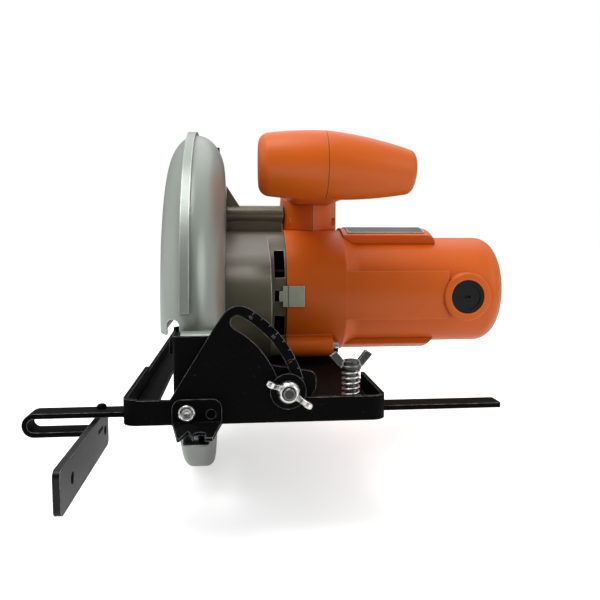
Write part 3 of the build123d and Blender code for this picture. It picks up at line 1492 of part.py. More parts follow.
cap_recess_radius = 9.2
cap_recess = 0.8
cap_slot_length = 4.4
cap_slot = 1.6
cap_inset = 0.8
with BuildPart() as brush_caps:
    for side in (-1, 1):
        seat = motor_y + side * holder_outer
        face = motor_y + side * (brush_boss_reach - cap_inset)
        rod_y(min(seat, face), max(seat, face), brush_x, brush_z, brush_cap_radius)
        cut = face - side * cap_recess
        cut_y = (min(cut, face), max(cut, face))
        rod_y(*cut_y, brush_x, brush_z, cap_recess_radius, Mode.SUBTRACT)
        slot_face = cut - side * cap_slot
        slot_y = (min(slot_face, cut), max(slot_face, cut))
        slot_x = (brush_x - cap_slot_length / 2, brush_x + cap_slot_length / 2)
        slot_z = (brush_z - cap_slot / 2, brush_z + cap_slot / 2)
        block(slot_x, slot_y, slot_z, Mode.SUBTRACT)
save(brush_caps.part, "brush_caps")

# Bare nameplate on the top pad
plate_thick = 0.6
plate_x = (70.0, 126.0)
plate_half = 24.0
with BuildPart() as nameplate:
    with BuildSketch(half_section(motor_y, motor_z, 90 - plate_half)):
        with Locations((plate_x[0], motor_pad_top + running_gap)):
            Rectangle(plate_x[1] - plate_x[0], plate_thick, align=(Align.MIN, Align.MIN))
    revolve(axis=motor_axis, revolution_arc=2 * plate_half)
save(nameplate.part, "nameplate")

# Spring clip that holds the blade spanner across the joint of the housings
clip_x = (22.0, 36.5)
clip_z = (42.5, 56.5)
clip_thick = 1.0
clip_hook = 5.5
clip_offset = 3.0
with BuildPart() as spanner_clip:
    clip_back = motor_y - motor_flange_radius
    block(clip_x, (clip_back - clip_thick, clip_back), clip_z)
    hook_x = (vent_left + clip_offset, vent_left + clip_offset + clip_thick)
    hook_z = (vent_heights[1][0] + loose_gap, vent_heights[1][1] - loose_gap)
    block((hook_x[0], clip_x[0]), (clip_back - clip_thick, clip_back), hook_z)
    block(hook_x, (clip_back - clip_thick, clip_back + clip_hook), hook_z)
save(spanner_clip.part, "spanner_clip")

# Handle: two shells that meet on one plane, with the front barrel, neck, post and looped grip
neck_bottom = 113.0
grip_points = (
    (barrel_y, neck_bottom),
    (barrel_y, 152.0),
    (30.0, 157.0),
    (76.0, 153.0),
    (120.0, 135.0),
    (150.0, 105.0),
    (157.0, 80.0),
    (146.0, 56.0),
    (118.0, 43.0),
    (motor_y + 20.0, 39.0),
    (motor_y, motor_z),
    (post_front + 12.0, neck_bottom),
)
opening_points = (
    (66.0, 80.0),
    (66.0, 118.0),
    (100.0, 111.0),
    (122.0, 95.0),
    (127.0, 80.0),
    (118.0, 66.0),
    (84.0, 59.0),
    (70.0, 60.0),
)
grip_round = 28.0
opening_round = 10.0
grip_edge_round = 6.0
post_shoulder = 20.0
post_rear = 66.0
post_low = 70.0
barrel_end_round = 7.0
barrel_tip_round = 5.0
barrel_wall = 3.0
seam_lap = 2.0
round_from_y = 70.0
round_from_z = 155.0
post_lap = 4.0
prow_side = 0.66
prow_depth = 0.42
far_reach = 200.0
boss_sink = 1.0
hollow_gap = 0.1
handle_boss_radius = 4.5
handle_head_radius = 3.3
handle_head_seat = 12.5
handle_head_height = 2.4
handle_screw_left = 33.0
trigger_half = 8.0
trigger_gap = 0.5
trigger_slot_y = (68.0, 100.5)
trigger_slot_z = (100.0, 122.0)
trigger_pivot_y = 73.0
trigger_pivot_z = 124.0
trigger_pin_radius = 2.0
button_y = 82.0
button_z = 138.0
button_radius = 4.5
button_collar_radius = 6.5
inlet_radius = 4.2
inlet_collar_radius = 7.5
inlet_plane = Plane(origin=(handle_x, 140.0, 74.0), z_dir=(0, 0.9, -0.44))
inlet_length = 20.0
tilt = atan2(barrel_drop, barrel_right - handle_x)
tip_axis = Axis((handle_x, barrel_y, barrel_z), (cos(tilt), 0, -sin(tilt)))
tip_section = Plane(
    origin=(handle_x, barrel_y, barrel_z), x_dir=(cos(tilt), 0, -sin(tilt)), z_dir=(0, -1, 0)
)
barrel_section = half_section(barrel_y, barrel_z, 90)
barrel_axis = Axis((0, barrel_y, barrel_z), (1, 0, 0))
tip_length = (barrel_right - handle_x) / cos(tilt)
for side, shell_name in ((-1, "handle_left"), (1, "handle_right")):
    with BuildPart() as shell:
        # Looped grip with rounded outer edges
        with BuildSketch(Plane.YZ.offset(handle_x)):
            with BuildLine():
                Polyline(*grip_points, close=True)
            make_face()
            outer = vertices().filter_by(lambda v: v.X > round_from_y or v.Y > round_from_z)
            fillet(outer, radius=grip_round)
            with BuildLine():
                FilletPolyline(*opening_points, radius=opening_round, close=True)
            make_face(mode=Mode.SUBTRACT)
        extrude(amount=side * handle_half)
        outer_face = faces().filter_by(Axis.X).sort_by(Axis.X)[-1 if side > 0 else 0]
        fillet(outer_face.edges(), radius=grip_edge_round)
        # Post with its prow towards the front
        with BuildSketch(Plane.XY.offset(post_low)):
            with BuildLine():
                outer_x = handle_x + side * post_half
                middle_x = handle_x + side * post_half * prow_side
                prow = ThreePointArc(
                    (handle_x, post_front),
                    (middle_x, post_front + post_shoulder * prow_depth),
                    (outer_x, post_front + post_shoulder),
                )
                Polyline(prow @ 1, (outer_x, post_rear), (handle_x, post_rear), prow @ 0)
            make_face()
        extrude(amount=neck_bottom + post_lap - post_low)
        # Front barrel
        if side < 0:
            with BuildSketch(barrel_section):
                with BuildLine():
                    barrel_middle = (barrel_left + handle_x) / 2
                    swell = ThreePointArc(
                        (barrel_left, barrel_left_radius),
                        (barrel_middle, barrel_left_swell),
                        (handle_x, barrel_radius),
                    )
                    Polyline(swell @ 1, (handle_x, 0), (barrel_left, 0), swell @ 0)
                make_face()
                left_corner = vertices().group_by(Axis.X)[0].sort_by(Axis.Y)[-1]
                fillet(left_corner, radius=barrel_end_round)
            revolve(axis=barrel_axis)
        else:
            with BuildSketch(tip_section):
                with BuildLine():
                    taper = ThreePointArc(
                        (seam_lap, barrel_radius),
                        (tip_length / 2, barrel_tip_swell),
                        (tip_length, barrel_tip_radius),
                    )
                    tip_root = ((-seam_lap, 0), (-seam_lap, barrel_radius))
                    Polyline(taper @ 1, (tip_length, 0), *tip_root, taper @ 0)
                make_face()
                tip_corner = vertices().group_by(Axis.X)[-1].sort_by(Axis.Y)[-1]
                fillet(tip_corner, radius=barrel_tip_round)
            revolve(axis=tip_axis)
        with Locations(inlet_plane):
            Cylinder(inlet_collar_radius, inlet_length, align=(Align.CENTER, Align.CENTER, Align.MIN))
        other_side = sorted((handle_x, handle_x - side * far_reach))
        block(other_side, (-far_reach, far_reach), (0.0, far_reach), Mode.SUBTRACT)
        # Hollow inside
        with BuildSketch(Plane.YZ.offset(handle_x)):
            with BuildLine():
                Polyline(*grip_points, close=True)
            make_face()
            offset(amount=-handle_wall, kind=Kind.INTERSECTION, mode=Mode.REPLACE)
            with BuildLine():
                Polyline(*opening_points, close=True)
                offset(amount=handle_wall, mode=Mode.REPLACE)
            make_face(mode=Mode.SUBTRACT)
        extrude(amount=side * (handle_half - handle_wall), mode=Mode.SUBTRACT)
        hollow_x = sorted((handle_x, handle_x + side * (handle_half - handle_wall)))
        hollow_y = (top_tongue_y[0] - hollow_gap, post_rear - handle_wall)
        block(hollow_x, hollow_y, (post_low, neck_bottom), Mode.SUBTRACT)
        if side < 0:
            barrel_hollow = (barrel_left + barrel_wall, handle_x)
            hollow_radius = barrel_left_radius - barrel_wall
            rod_x(*barrel_hollow, barrel_y, barrel_z, hollow_radius, Mode.SUBTRACT)
        else:
            with BuildSketch(tip_section):
                with BuildLine():
                    Polyline(
                        (-seam_lap, 0),
                        (-seam_lap, barrel_radius - barrel_wall),
                        (tip_length - barrel_wall, barrel_tip_radius - barrel_wall),
                        (tip_length - barrel_wall, 0),
                        close=True,
                    )
                make_face()
            revolve(axis=tip_axis, mode=Mode.SUBTRACT)
        # Screw bosses, tongue pockets, trigger slot and holes
        boss_end = handle_x + side * (handle_half - boss_sink)
        for screw_y, screw_z in handle_screw_places:
            boss_x = sorted((handle_x, boss_end))
            rod_x(*boss_x, screw_y, screw_z, handle_boss_radius)
        block(tongue_x, top_tongue_y, (motor_z, top_tongue_top), Mode.SUBTRACT)
        block(tongue_x, (motor_y, rear_tongue_rear), rear_tongue_z, Mode.SUBTRACT)
        rod_x(0.0, motor_right, motor_y, motor_z, motor_flange_radius, Mode.SUBTRACT)
        slot_half = trigger_half + trigger_gap
        slot_x = (handle_x - slot_half, handle_x + slot_half)
        block(slot_x, trigger_slot_y, trigger_slot_z, Mode.SUBTRACT)
        with Locations(inlet_plane.offset(-inlet_length)):
            Cylinder(
                inlet_radius,
                3 * inlet_length,
                align=(Align.CENTER, Align.CENTER, Align.MIN),
                mode=Mode.SUBTRACT,
            )
        for screw_y, screw_z in handle_screw_places:
            seat_x = handle_x + handle_head_seat
            rod_x(handle_screw_left, seat_x, screw_y, screw_z, handle_screw_radius, Mode.SUBTRACT)
            if side > 0:
                head_hole = handle_head_radius + thread_gap
                rod_x(seat_x, far_reach, screw_y, screw_z, head_hole, Mode.SUBTRACT)
        if side < 0:
            rod_x(0.0, handle_x, button_y, button_z, button_radius + running_gap, Mode.SUBTRACT)
            rod_x(0.0, handle_x, top_boss_y, top_boss_z, link_screw_radius, Mode.SUBTRACT)
            link_pocket = link_head_radius + thread_gap
            rod_x(link_seat, handle_x, top_boss_y, top_boss_z, link_pocket, Mode.SUBTRACT)
    save(shell.part, shell_name)

with BuildPart() as handle_screws:
    seat_x = handle_x + handle_head_seat
    for screw_y, screw_z in handle_screw_places:
        rod_x(handle_screw_left, seat_x, screw_y, screw_z, handle_screw_radius)
        rod_x(seat_x, seat_x + handle_head_height, screw_y, screw_z, handle_head_radius)
save(handle_screws.part, "handle_screws")

# Screw that ties the handle post to the boss of the gear housing
with BuildPart() as handle_link_screw:
    rod_x(link_screw_left, link_seat, top_boss_y, top_boss_z, link_screw_radius)
    rod_x(link_seat, link_seat + link_head_height, top_boss_y, top_boss_z, link_head_radius)
save(handle_link_screw.part, "handle_link_screw")

# Trigger on its pin, lock-off button and switch
trigger_points = (
    (69.0, 112.0),
    (69.5, 128.5),
    (84.0, 129.5),
    (97.5, 123.0),
    (97.5, 112.0),
    (93.0, 104.5),
    (84.0, 101.5),
    (74.0, 104.0),
)
trigger_x = (handle_x - trigger_half, handle_x + trigger_half)
trigger_corner = 2.5
trigger_edge = 1.5
with BuildPart() as trigger:
    with BuildSketch(Plane.YZ.offset(trigger_x[0])):
        with BuildLine():
            FilletPolyline(*trigger_points, radius=trigger_corner, close=True)
        make_face()
    extrude(amount=2 * trigger_half)
    side_faces = faces().filter_by(Axis.X)
    fillet(side_faces.edges(), radius=trigger_edge)
    pin_hole = trigger_pin_radius + running_gap
    rod_x(*trigger_x, trigger_pivot_y, trigger_pivot_z, pin_hole, Mode.SUBTRACT)
save(trigger.part, "trigger")

shell_inside = (handle_x - handle_half + handle_wall, handle_x + handle_half - handle_wall)
with BuildPart() as trigger_pin:
    rod_x(*shell_inside, trigger_pivot_y, trigger_pivot_z, trigger_pin_radius)
save(trigger_pin.part, "trigger_pin")

button_proud = 3.5
button_collar = 2.0
button_tail = 3.0
button_tail_radius = 3.0
button_round = 1.5
shell_outside = handle_x - handle_half
with BuildPart() as lock_off_button:
    collar_left = shell_inside[0] + loose_gap
    rod_x(shell_outside - button_proud, collar_left, button_y, button_z, button_radius)
    fillet(edges().group_by(Axis.X)[0], radius=button_round)
    rod_x(collar_left, collar_left + button_collar, button_y, button_z, button_collar_radius)
    tail_right_end = collar_left + button_collar + button_tail
    rod_x(collar_left + button_collar, tail_right_end, button_y, button_z, button_tail_radius)
save(lock_off_button.part, "lock_off_button")

switch_y = (101.5, 118.0)
switch_z = (115.5, 130.5)
switch_half = handle_half - handle_wall
switch_round = 1.0
with BuildPart() as switch_body:
    block((handle_x - switch_half, handle_x + switch_half), switch_y, switch_z)
    fillet(edges().filter_by(Axis.X), radius=switch_round)
save(switch_body.part, "switch_body")

# Depth clamp: bolt through the slotted guide and its lever
clamp_head_radius = 6.0
clamp_head_height = 3.5
clamp_hub_radius = 7.5
clamp_hub_width = 7.0
clamp_bolt_stickout = 2.0
lever_reach = 42.0
lever_tip_radius = 5.0
lever_thick = 5.0
lever_lean = 12.0
lever_root_radius = 6.0
clamp_hub_left = rear_lug_right + running_gap
clamp_hub_right = clamp_hub_left + clamp_hub_width
with BuildPart() as depth_clamp_bolt:
    head_right = depth_guide_left - running_gap
    rod_x(head_right - clamp_head_height, head_right, depth_clamp_y, depth_clamp_z, clamp_head_radius)
    bolt_tip = clamp_hub_right + clamp_bolt_stickout
    rod_x(head_right, bolt_tip, depth_clamp_y, depth_clamp_z, depth_bolt_radius)
save(depth_clamp_bolt.part, "depth_clamp_bolt")

with BuildPart() as depth_lever:
    rod_x(clamp_hub_left, clamp_hub_right, depth_clamp_y, depth_clamp_z, clamp_hub_radius)
    tip_y = depth_clamp_y - lever_reach * sin(radians(lever_lean))
    tip_z = depth_clamp_z + lever_reach * cos(radians(lever_lean))
    with BuildSketch(Plane.YZ.offset(clamp_hub_right - lever_thick)):
        with Locations((depth_clamp_y, depth_clamp_z)):
            Circle(lever_root_radius)
        with Locations((tip_y, tip_z)):
            Circle(lever_tip_radius)
        make_hull()
    extrude(amount=lever_thick)
    rod_x(clamp_hub_left, clamp_hub_right, depth_clamp_y, depth_clamp_z, clamp_hole, Mode.SUBTRACT)
save(depth_lever.part, "depth_lever")
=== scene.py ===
"""Finishes, small fittings and studio for a hand-held circular saw.

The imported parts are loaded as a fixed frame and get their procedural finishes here. The bevel
scale, the wing nut, the wing bolt and the front hinge rivet are modelled in mesh code on top of
that frame.
Lengths are in metres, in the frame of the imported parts.
"""

import json
from math import cos, pi, radians, sin

import bmesh
import bpy
from bpy.props import FloatProperty, FloatVectorProperty, IntProperty, PointerProperty
from mathutils import Matrix, Vector


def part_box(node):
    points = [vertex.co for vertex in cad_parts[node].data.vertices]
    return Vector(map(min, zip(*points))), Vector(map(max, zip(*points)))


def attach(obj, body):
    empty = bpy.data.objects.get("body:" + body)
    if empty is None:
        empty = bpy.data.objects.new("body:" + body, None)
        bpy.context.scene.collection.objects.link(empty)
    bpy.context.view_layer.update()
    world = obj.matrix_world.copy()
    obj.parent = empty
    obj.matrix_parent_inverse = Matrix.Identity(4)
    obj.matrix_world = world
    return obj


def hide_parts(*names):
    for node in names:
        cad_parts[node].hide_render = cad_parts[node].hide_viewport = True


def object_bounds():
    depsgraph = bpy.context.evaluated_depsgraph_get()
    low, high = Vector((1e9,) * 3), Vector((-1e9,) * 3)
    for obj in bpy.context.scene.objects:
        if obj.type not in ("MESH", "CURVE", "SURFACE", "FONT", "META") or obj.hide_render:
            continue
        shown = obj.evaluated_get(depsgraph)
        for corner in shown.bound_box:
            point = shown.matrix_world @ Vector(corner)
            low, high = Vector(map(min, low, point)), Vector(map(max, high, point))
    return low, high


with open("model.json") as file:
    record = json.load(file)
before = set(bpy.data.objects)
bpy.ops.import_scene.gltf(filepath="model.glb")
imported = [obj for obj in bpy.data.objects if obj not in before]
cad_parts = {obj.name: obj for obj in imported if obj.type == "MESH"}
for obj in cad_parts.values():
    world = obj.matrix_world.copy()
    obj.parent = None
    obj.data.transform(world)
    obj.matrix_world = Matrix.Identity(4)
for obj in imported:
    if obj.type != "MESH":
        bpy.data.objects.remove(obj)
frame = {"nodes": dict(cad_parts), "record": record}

bl_info = {
    "name": "Circular Saw Looks",
    "version": (1, 0, 0),
    "blender": (4, 5, 0),
    "location": "View3D > Sidebar > Saw",
    "description": "Finishes, bevel scale, clamp fittings and studio for a circular saw",
    "category": "3D View",
}

MM = 0.001
CAD_BOX = [list(corner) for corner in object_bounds()]


def box_middle(node):
    """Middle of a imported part's box."""
    low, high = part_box(node)
    return (low + high) * 0.5


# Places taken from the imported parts
SPINDLE = box_middle("blade")
MOTOR = box_middle("armature_core")
PIVOT = box_middle("bevel_pivot_front")
STUD = box_middle("bevel_stud")
FLOOR_Z = CAD_BOX[0][2]
Y_AXIS = Vector((0.0, 1.0, 0.0))
Z_AXIS = Vector((0.0, 0.0, 1.0))
UPRIGHT = Matrix.Rotation(radians(90), 4, "X")

# Outlines in millimetres: (radius, along) for turned pieces, (across, up) for plates
NUT_HUB = [
    (3.2, 0.0), (5.3, 0.0), (5.6, -0.4), (5.6, -1.9), (5.35, -3.0), (4.9, -3.9), (4.4, -4.6),
    (3.95, -4.95), (3.5, -5.0), (3.25, -4.8), (3.2, -4.2), (3.2, 0.0),
]
NUT_ARM = [
    (4.0, -1.2), (5.4, -1.1), (7.2, -2.6), (9.4, -4.7), (10.8, -5.5), (11.9, -6.4), (12.1, -7.6),
    (11.3, -8.6), (10.0, -8.9), (8.6, -8.3), (6.9, -6.2), (5.6, -4.5), (4.0, -3.9),
]
BOLT_HUB = [
    (0.0, 0.0), (4.7, 0.0), (5.2, 0.3), (5.4, 0.8), (5.4, 1.5), (5.15, 2.0), (4.7, 2.2), (4.6, 2.5),
    (4.55, 3.6), (4.2, 4.4), (3.4, 4.9), (2.0, 5.2), (0.0, 5.3),
]
BOLT_EAR = [
    (2.3, 0.9), (5.0, 0.6), (6.2, 1.4), (11.2, 6.9), (11.3, 7.5), (8.4, 9.4), (7.7, 9.4), (3.6, 4.6),
    (2.3, 4.2),
]
RIVET_HEAD = [
    (0.0, 0.75), (0.9, 0.8), (1.25, 1.0), (1.5, 1.25), (2.3, 1.25), (2.6, 0.8), (2.8, 0.3), (3.1, 0.05),
    (3.4, 0.0), (3.75, 0.1), (4.0, 0.4), (4.1, 0.8), (4.1, 1.6), (3.0, 1.6),
]
# The rivet's tail is measured forwards from its back face
RIVET_TAIL = [(3.0, 1.6), (3.5, 1.6), (3.8, 1.2), (3.6, 0.5), (2.6, 0.0), (0.0, 0.0)]

# Plates, threads and meshes of the fittings
NUT_ARM_THICKNESS = 3.0 * MM
NUT_ARM_ROUNDING = 0.75 * MM
BOLT_EAR_THICKNESS = 2.4 * MM
BOLT_EAR_ROUNDING = 0.45 * MM
ROUNDING_SEGMENTS = 3
THREAD_DEPTH_SHARE = 0.55
CREST_START_SHARE = 0.4
CREST_END_SHARE = 0.6
SHANK_OVERLAP = 0.5 * MM
TURNED_STEPS = 48
SHANK_STEPS = 32
MERGE_GAP = 0.002 * MM

# Bevel scale: angles in degrees, tick lengths, and how far ticks and figures stand off its radius
FULL_BEVEL = 45
FIGURE_STEP = 15
LONG_TICK = 1.5 * MM
SHORT_TICK = 1.1 * MM
TICK_REACH = 2.4 * MM
FIGURE_INSET = 0.6 * MM

# Fixed tones of wear and dirt, of painted shade and painted highlight, and places of the finishes
# painted shade tone laid into corners of the castings
CORNER_SHADE = (0.075, 0.066, 0.05, 1.0)
DUST = (0.10, 0.098, 0.092, 1.0)
# painted highlight tone on rims of plated parts
RIM_HIGHLIGHT = (0.82, 0.82, 0.8, 1.0)
TARNISH = (0.19, 0.155, 0.12, 1.0)
RUST = (0.13, 0.055, 0.025, 1.0)
HANDLE = ("handle_left", "handle_right")
# width of the painted rim highlight on the darker plated parts
WIDE_RIM = 0.8 * MM
# place along X of the painted shade line on the clip's fold
CLIP_FOLD_SHARE = 0.36

# Studio
LAMP_AIM = Vector((0.03, 0.0, 0.06))
FLOOR_REACH = 6.0
FLOOR_SHIFT = 3.0
FLOOR_GAP = 0.2 * MM
MIRRORED_GLOW = 0.4
SENSOR_WIDTH = 36.0
NEAREST_SEEN = 0.01


class Wire:
    """An output socket that can be used in plain arithmetic."""

    def __init__(self, shade, socket):
        self.shade = shade
        self.socket = socket

    def join(self, operation, first, second):
        return self.shade.add("ShaderNodeMath", {"operation": operation}, {0: first, 1: second})

    def largest(self, other):
        return self.join("MAXIMUM", self, other)

    def __add__(self, other):
        return self.join("ADD", self, other)

    def __radd__(self, other):
        return self.join("ADD", other, self)

    def __sub__(self, other):
        return self.join("SUBTRACT", self, other)

    def __rsub__(self, other):
        return self.join("SUBTRACT", other, self)

    def __mul__(self, other):
        return self.join("MULTIPLY", self, other)

    def __rmul__(self, other):
        return self.join("MULTIPLY", other, self)

    def __pow__(self, other):
        return self.join("POWER", self, other)

    def __rpow__(self, other):
        return self.join("POWER", other, self)


class Shade:
    """Node tree of one finish, or of the studio's surroundings."""

    def __init__(self, owner, coordinates="Object"):
        owner.use_nodes = True
        self.owner = owner
        self.tree = owner.node_tree
        self.tree.nodes.clear()
        self.place = self.add("ShaderNodeTexCoord", output=coordinates)

    def add(self, kind, settings=None, inputs=None, output=0):
        """New node: its settings first, then its sockets, given by name or number."""
        node = self.tree.nodes.new(kind)
        for key, value in (settings or {}).items():
            setattr(node, key, value)
        for key, value in (inputs or {}).items():
            if isinstance(value, Wire):
                self.tree.links.new(value.socket, node.inputs[key])
            else:
                node.inputs[key].default_value = value
        return Wire(self, node.outputs[output]) if len(node.outputs) else None

    def noise(self, scale, detail, vector=None):
        sockets = {"Vector": vector or self.place, "Scale": scale, "Detail": detail}
        return self.add("ShaderNodeTexNoise", None, sockets)

    def stretched(self, scales, detail):
        """Noise drawn out into streaks by different scales along X, Y and Z."""
        mapped = self.add("ShaderNodeMapping", None, {"Vector": self.place, "Scale": scales})
        return self.noise(1.0, detail, mapped)

    def steps(self, value, low, high, start=0.0, end=1.0):
        sockets = {"Value": value, "From Min": low, "From Max": high, "To Min": start, "To Max": end}
        return self.add("ShaderNodeMapRange", {"clamp": True}, sockets)

    def blend(self, factor, first, second):
        settings = {"data_type": "RGBA", "clamp_factor": True}
        return self.add("ShaderNodeMix", settings, {0: factor, 6: first, 7: second}, output=2)

    def soft_normal(self, radius):
        return self.add("ShaderNodeBevel", {"samples": 4}, {"Radius": radius})

    def edges(self, radius, low=0.03, high=0.16):
        """Mask of sharp edges, outer and inner ones alike."""
        soft = self.soft_normal(radius)
        sharp = self.add("ShaderNodeNewGeometry", output="Normal")
        settings = {"operation": "DOT_PRODUCT"}
        likeness = self.add("ShaderNodeVectorMath", settings, {0: soft, 1: sharp}, output="Value")
        return self.steps(1.0 - likeness, low, high)

    def openness(self, distance):
        """One on open faces, towards zero in corners and pockets."""
        sockets = {"Distance": distance}
        return self.add("ShaderNodeAmbientOcclusion", {"samples": 4}, sockets, output="AO")

    def around(self, centre):
        """Distance from the X axis through a point."""
        deep = self.along("Y") - centre.y
        upright = self.along("Z") - centre.z
        return (deep * deep + upright * upright) ** 0.5

    def along(self, axis):
        return self.add("ShaderNodeSeparateXYZ", None, {0: self.place}, output=axis)

    def near(self, axis, place, full, fade):
        """One close to a plane across an axis, fading to nought."""
        apart = self.along(axis) - place
        return self.steps((apart * apart) ** 0.5, full, fade, 1.0, 0.0)

    def ray(self, kind):
        """One for rays of a kind, nought for the others."""
        return self.add("ShaderNodeLightPath", output=f"Is {kind} Ray")

    def lines(self, position, scale, detail):
        """Fine lines that follow one changing value."""
        packed = self.add("ShaderNodeCombineXYZ", None, {0: position * scale})
        return self.noise(1.0, detail, packed)

    def finish(self, colour, roughness, metallic, height, depth, rounding, fixed=None):
        """Surface shader with rounded edges and a fine relief."""
        rounded = self.soft_normal(rounding)
        relief = {"Strength": 1.0, "Distance": depth, "Height": height, "Normal": rounded}
        normal = self.add("ShaderNodeBump", None, relief)
        sockets = {"Base Color": colour, "Roughness": roughness, "Metallic": metallic, "Normal": normal}
        sockets.update(fixed or {})
        surface = self.add("ShaderNodeBsdfPrincipled", None, sockets)
        self.add("ShaderNodeOutputMaterial", None, {"Surface": surface})
        return self.owner


def new_finish(name):
    return Shade(bpy.data.materials.new(name))


def tint(colour, factor):
    """The same colour, lighter or darker."""
    return (colour[0] * factor, colour[1] * factor, colour[2] * factor, 1.0)


def plain(colour):
    return (colour[0], colour[1], colour[2], 1.0)


def moulded_plastic(name, colour, gloss, shine, seam=None):
    """Moulded shell with a fine eroded grain, ridges lightened partly by rubbing wear and partly as
    painted highlight, painted shade in its corners and creases, and a dark seam.
    """
    shade = new_finish(name)
    cloud = shade.noise(22.0, 4.0)
    grain = shade.noise(1500.0, 2.0)
    open_face = shade.openness(7 * MM)
    # painted shade: dark lines in tight creases; on the handle the seam line joins them as a real dark
    # joint
    crease = shade.steps(shade.openness(1.4 * MM), 0.45, 0.85, 1.0, 0.0)
    if seam is not None:
        crease = crease.largest(shade.near("X", seam, 0.2 * MM, 0.45 * MM))
    # painted highlight, partly rubbing wear: convex ridges are lightened almost all along
    ridge_highlight = shade.edges(1.8 * MM, 0.02, 0.12) * shade.steps(open_face, 0.66, 0.86)
    rubbed_sheen = ridge_highlight * shade.steps(shade.noise(160.0, 4.0), 0.36, 0.66, 0.55, 1.0)
    # corner marks the corners and recesses that get painted shade
    corner = shade.steps(open_face, 0.3, 0.92, 1.0, 0.0)
    deep = (colour[0] * 0.5, colour[1] * 0.32, colour[2] * 0.25, 1.0)
    pale = (colour[0] * 1.25, colour[1] * 2.2, colour[2] * 7.0, 1.0)
    base = shade.blend(shade.steps(cloud, 0.3, 0.7), tint(colour, 0.95), tint(colour, 1.04))
    # painted shade: darker, redder tone in corners and recesses, where shade falls
    base = shade.blend(corner * 0.25, base, deep)
    # painted highlight with rubbing wear along the ridges
    base = shade.blend(rubbed_sheen * 0.75, base, pale)
    # painted shade in creases, and the real dark seam
    base = shade.blend(crease * 0.75, base, tint(colour, 0.12))
    scuffs = shade.steps(shade.stretched((60.0, 420.0, 420.0), 4.0), 0.6, 0.74)
    rough = gloss + shade.steps(grain, 0.3, 0.7, -0.05, 0.05) + scuffs * 0.1 + cloud * 0.06
    relief = grain + scuffs * 0.3
    level = {"Specular IOR Level": shine}
    return shade.finish(base, rough, 0.0, relief, 0.03 * MM, 0.35 * MM, level)


def cast_paint(name, colour, bare, lustre):
    """Satin silver paint on a casting, with a faint sparkle, ridges lightened partly by wear and partly
    as painted highlight, and painted shade in its corners.
    """
    shade = new_finish(name)
    cloud = shade.noise(16.0, 4.0)
    peel = shade.noise(650.0, 3.0)
    sparkle = shade.steps(shade.noise(4200.0, 1.0), 0.56, 0.7)
    sharp = shade.edges(1.4 * MM, 0.02, 0.12)
    open_face = shade.openness(8 * MM)
    patches = shade.steps(shade.noise(120.0, 5.0), 0.36, 0.6, 0.45, 1.0)
    # painted highlight with wear: convex edges lightened towards bare metal all along, more in patches
    edge_wear_and_highlight = sharp * shade.steps(open_face, 0.7, 0.9) * patches
    # corner marks the corners and pockets that get painted shade
    corner = shade.steps(open_face, 0.25, 0.95, 1.0, 0.0)
    base = shade.blend(shade.steps(cloud, 0.3, 0.7), tint(colour, 0.94), tint(colour, 1.05))
    base = shade.blend(sparkle * 0.2, base, tint(colour, 1.6))
    # painted shade: corners and pockets darkened, where shade falls
    base = shade.blend(corner * 0.8, base, CORNER_SHADE)
    # painted highlight and wear along the convex edges
    base = shade.blend(edge_wear_and_highlight * 0.75, base, plain(bare))
    streaks = shade.steps(shade.stretched((300.0, 300.0, 30.0), 4.0), 0.58, 0.75)
    rough = 0.28 + cloud * 0.1 + streaks * 0.1 - sparkle * 0.06
    metal = lustre + edge_wear_and_highlight * 0.4
    return shade.finish(base, rough, metal, peel, 0.03 * MM, 0.6 * MM)


def black_paint(name, colour, bare, gloss, shine):
    """Black stoved paint on steel, chipped to bare metal along its sheared edges, which are also
    lightened all along as painted highlight.
    """
    shade = new_finish(name)
    cloud = shade.noise(30.0, 5.0)
    peel = shade.noise(420.0, 2.0)
    sharp = shade.edges(0.5 * MM, 0.02, 0.12)
    open_face = shade.steps(shade.openness(5 * MM), 0.6, 0.85)
    chips = shade.steps(shade.noise(260.0, 5.0), 0.42, 0.6)
    # painted highlight with chipped paint: sheared edges lightened all along, more where chipped
    edge_wear_and_highlight = sharp * open_face * (chips * 0.55 + 0.4)
    scratch = shade.steps(shade.stretched((900.0, 70.0, 900.0), 3.0), 0.69, 0.77)
    dust = shade.steps(shade.noise(700.0, 4.0), 0.6, 0.8) * shade.steps(cloud, 0.4, 0.7)
    base = shade.blend(shade.steps(cloud, 0.3, 0.75), tint(colour, 0.7), tint(colour, 1.4))
    base = shade.blend(dust * 0.08, base, DUST)
    base = shade.blend(scratch * 0.06, base, plain(bare))
    # painted highlight and chips along the sheared edges
    base = shade.blend(edge_wear_and_highlight * 0.85, base, plain(bare))
    rough = gloss + cloud * 0.14 + dust * 0.12 + scratch * 0.1
    level = {"Specular IOR Level": shine}
    return shade.finish(base, rough, edge_wear_and_highlight * 0.7, peel, 0.02 * MM, 0.45 * MM, level)


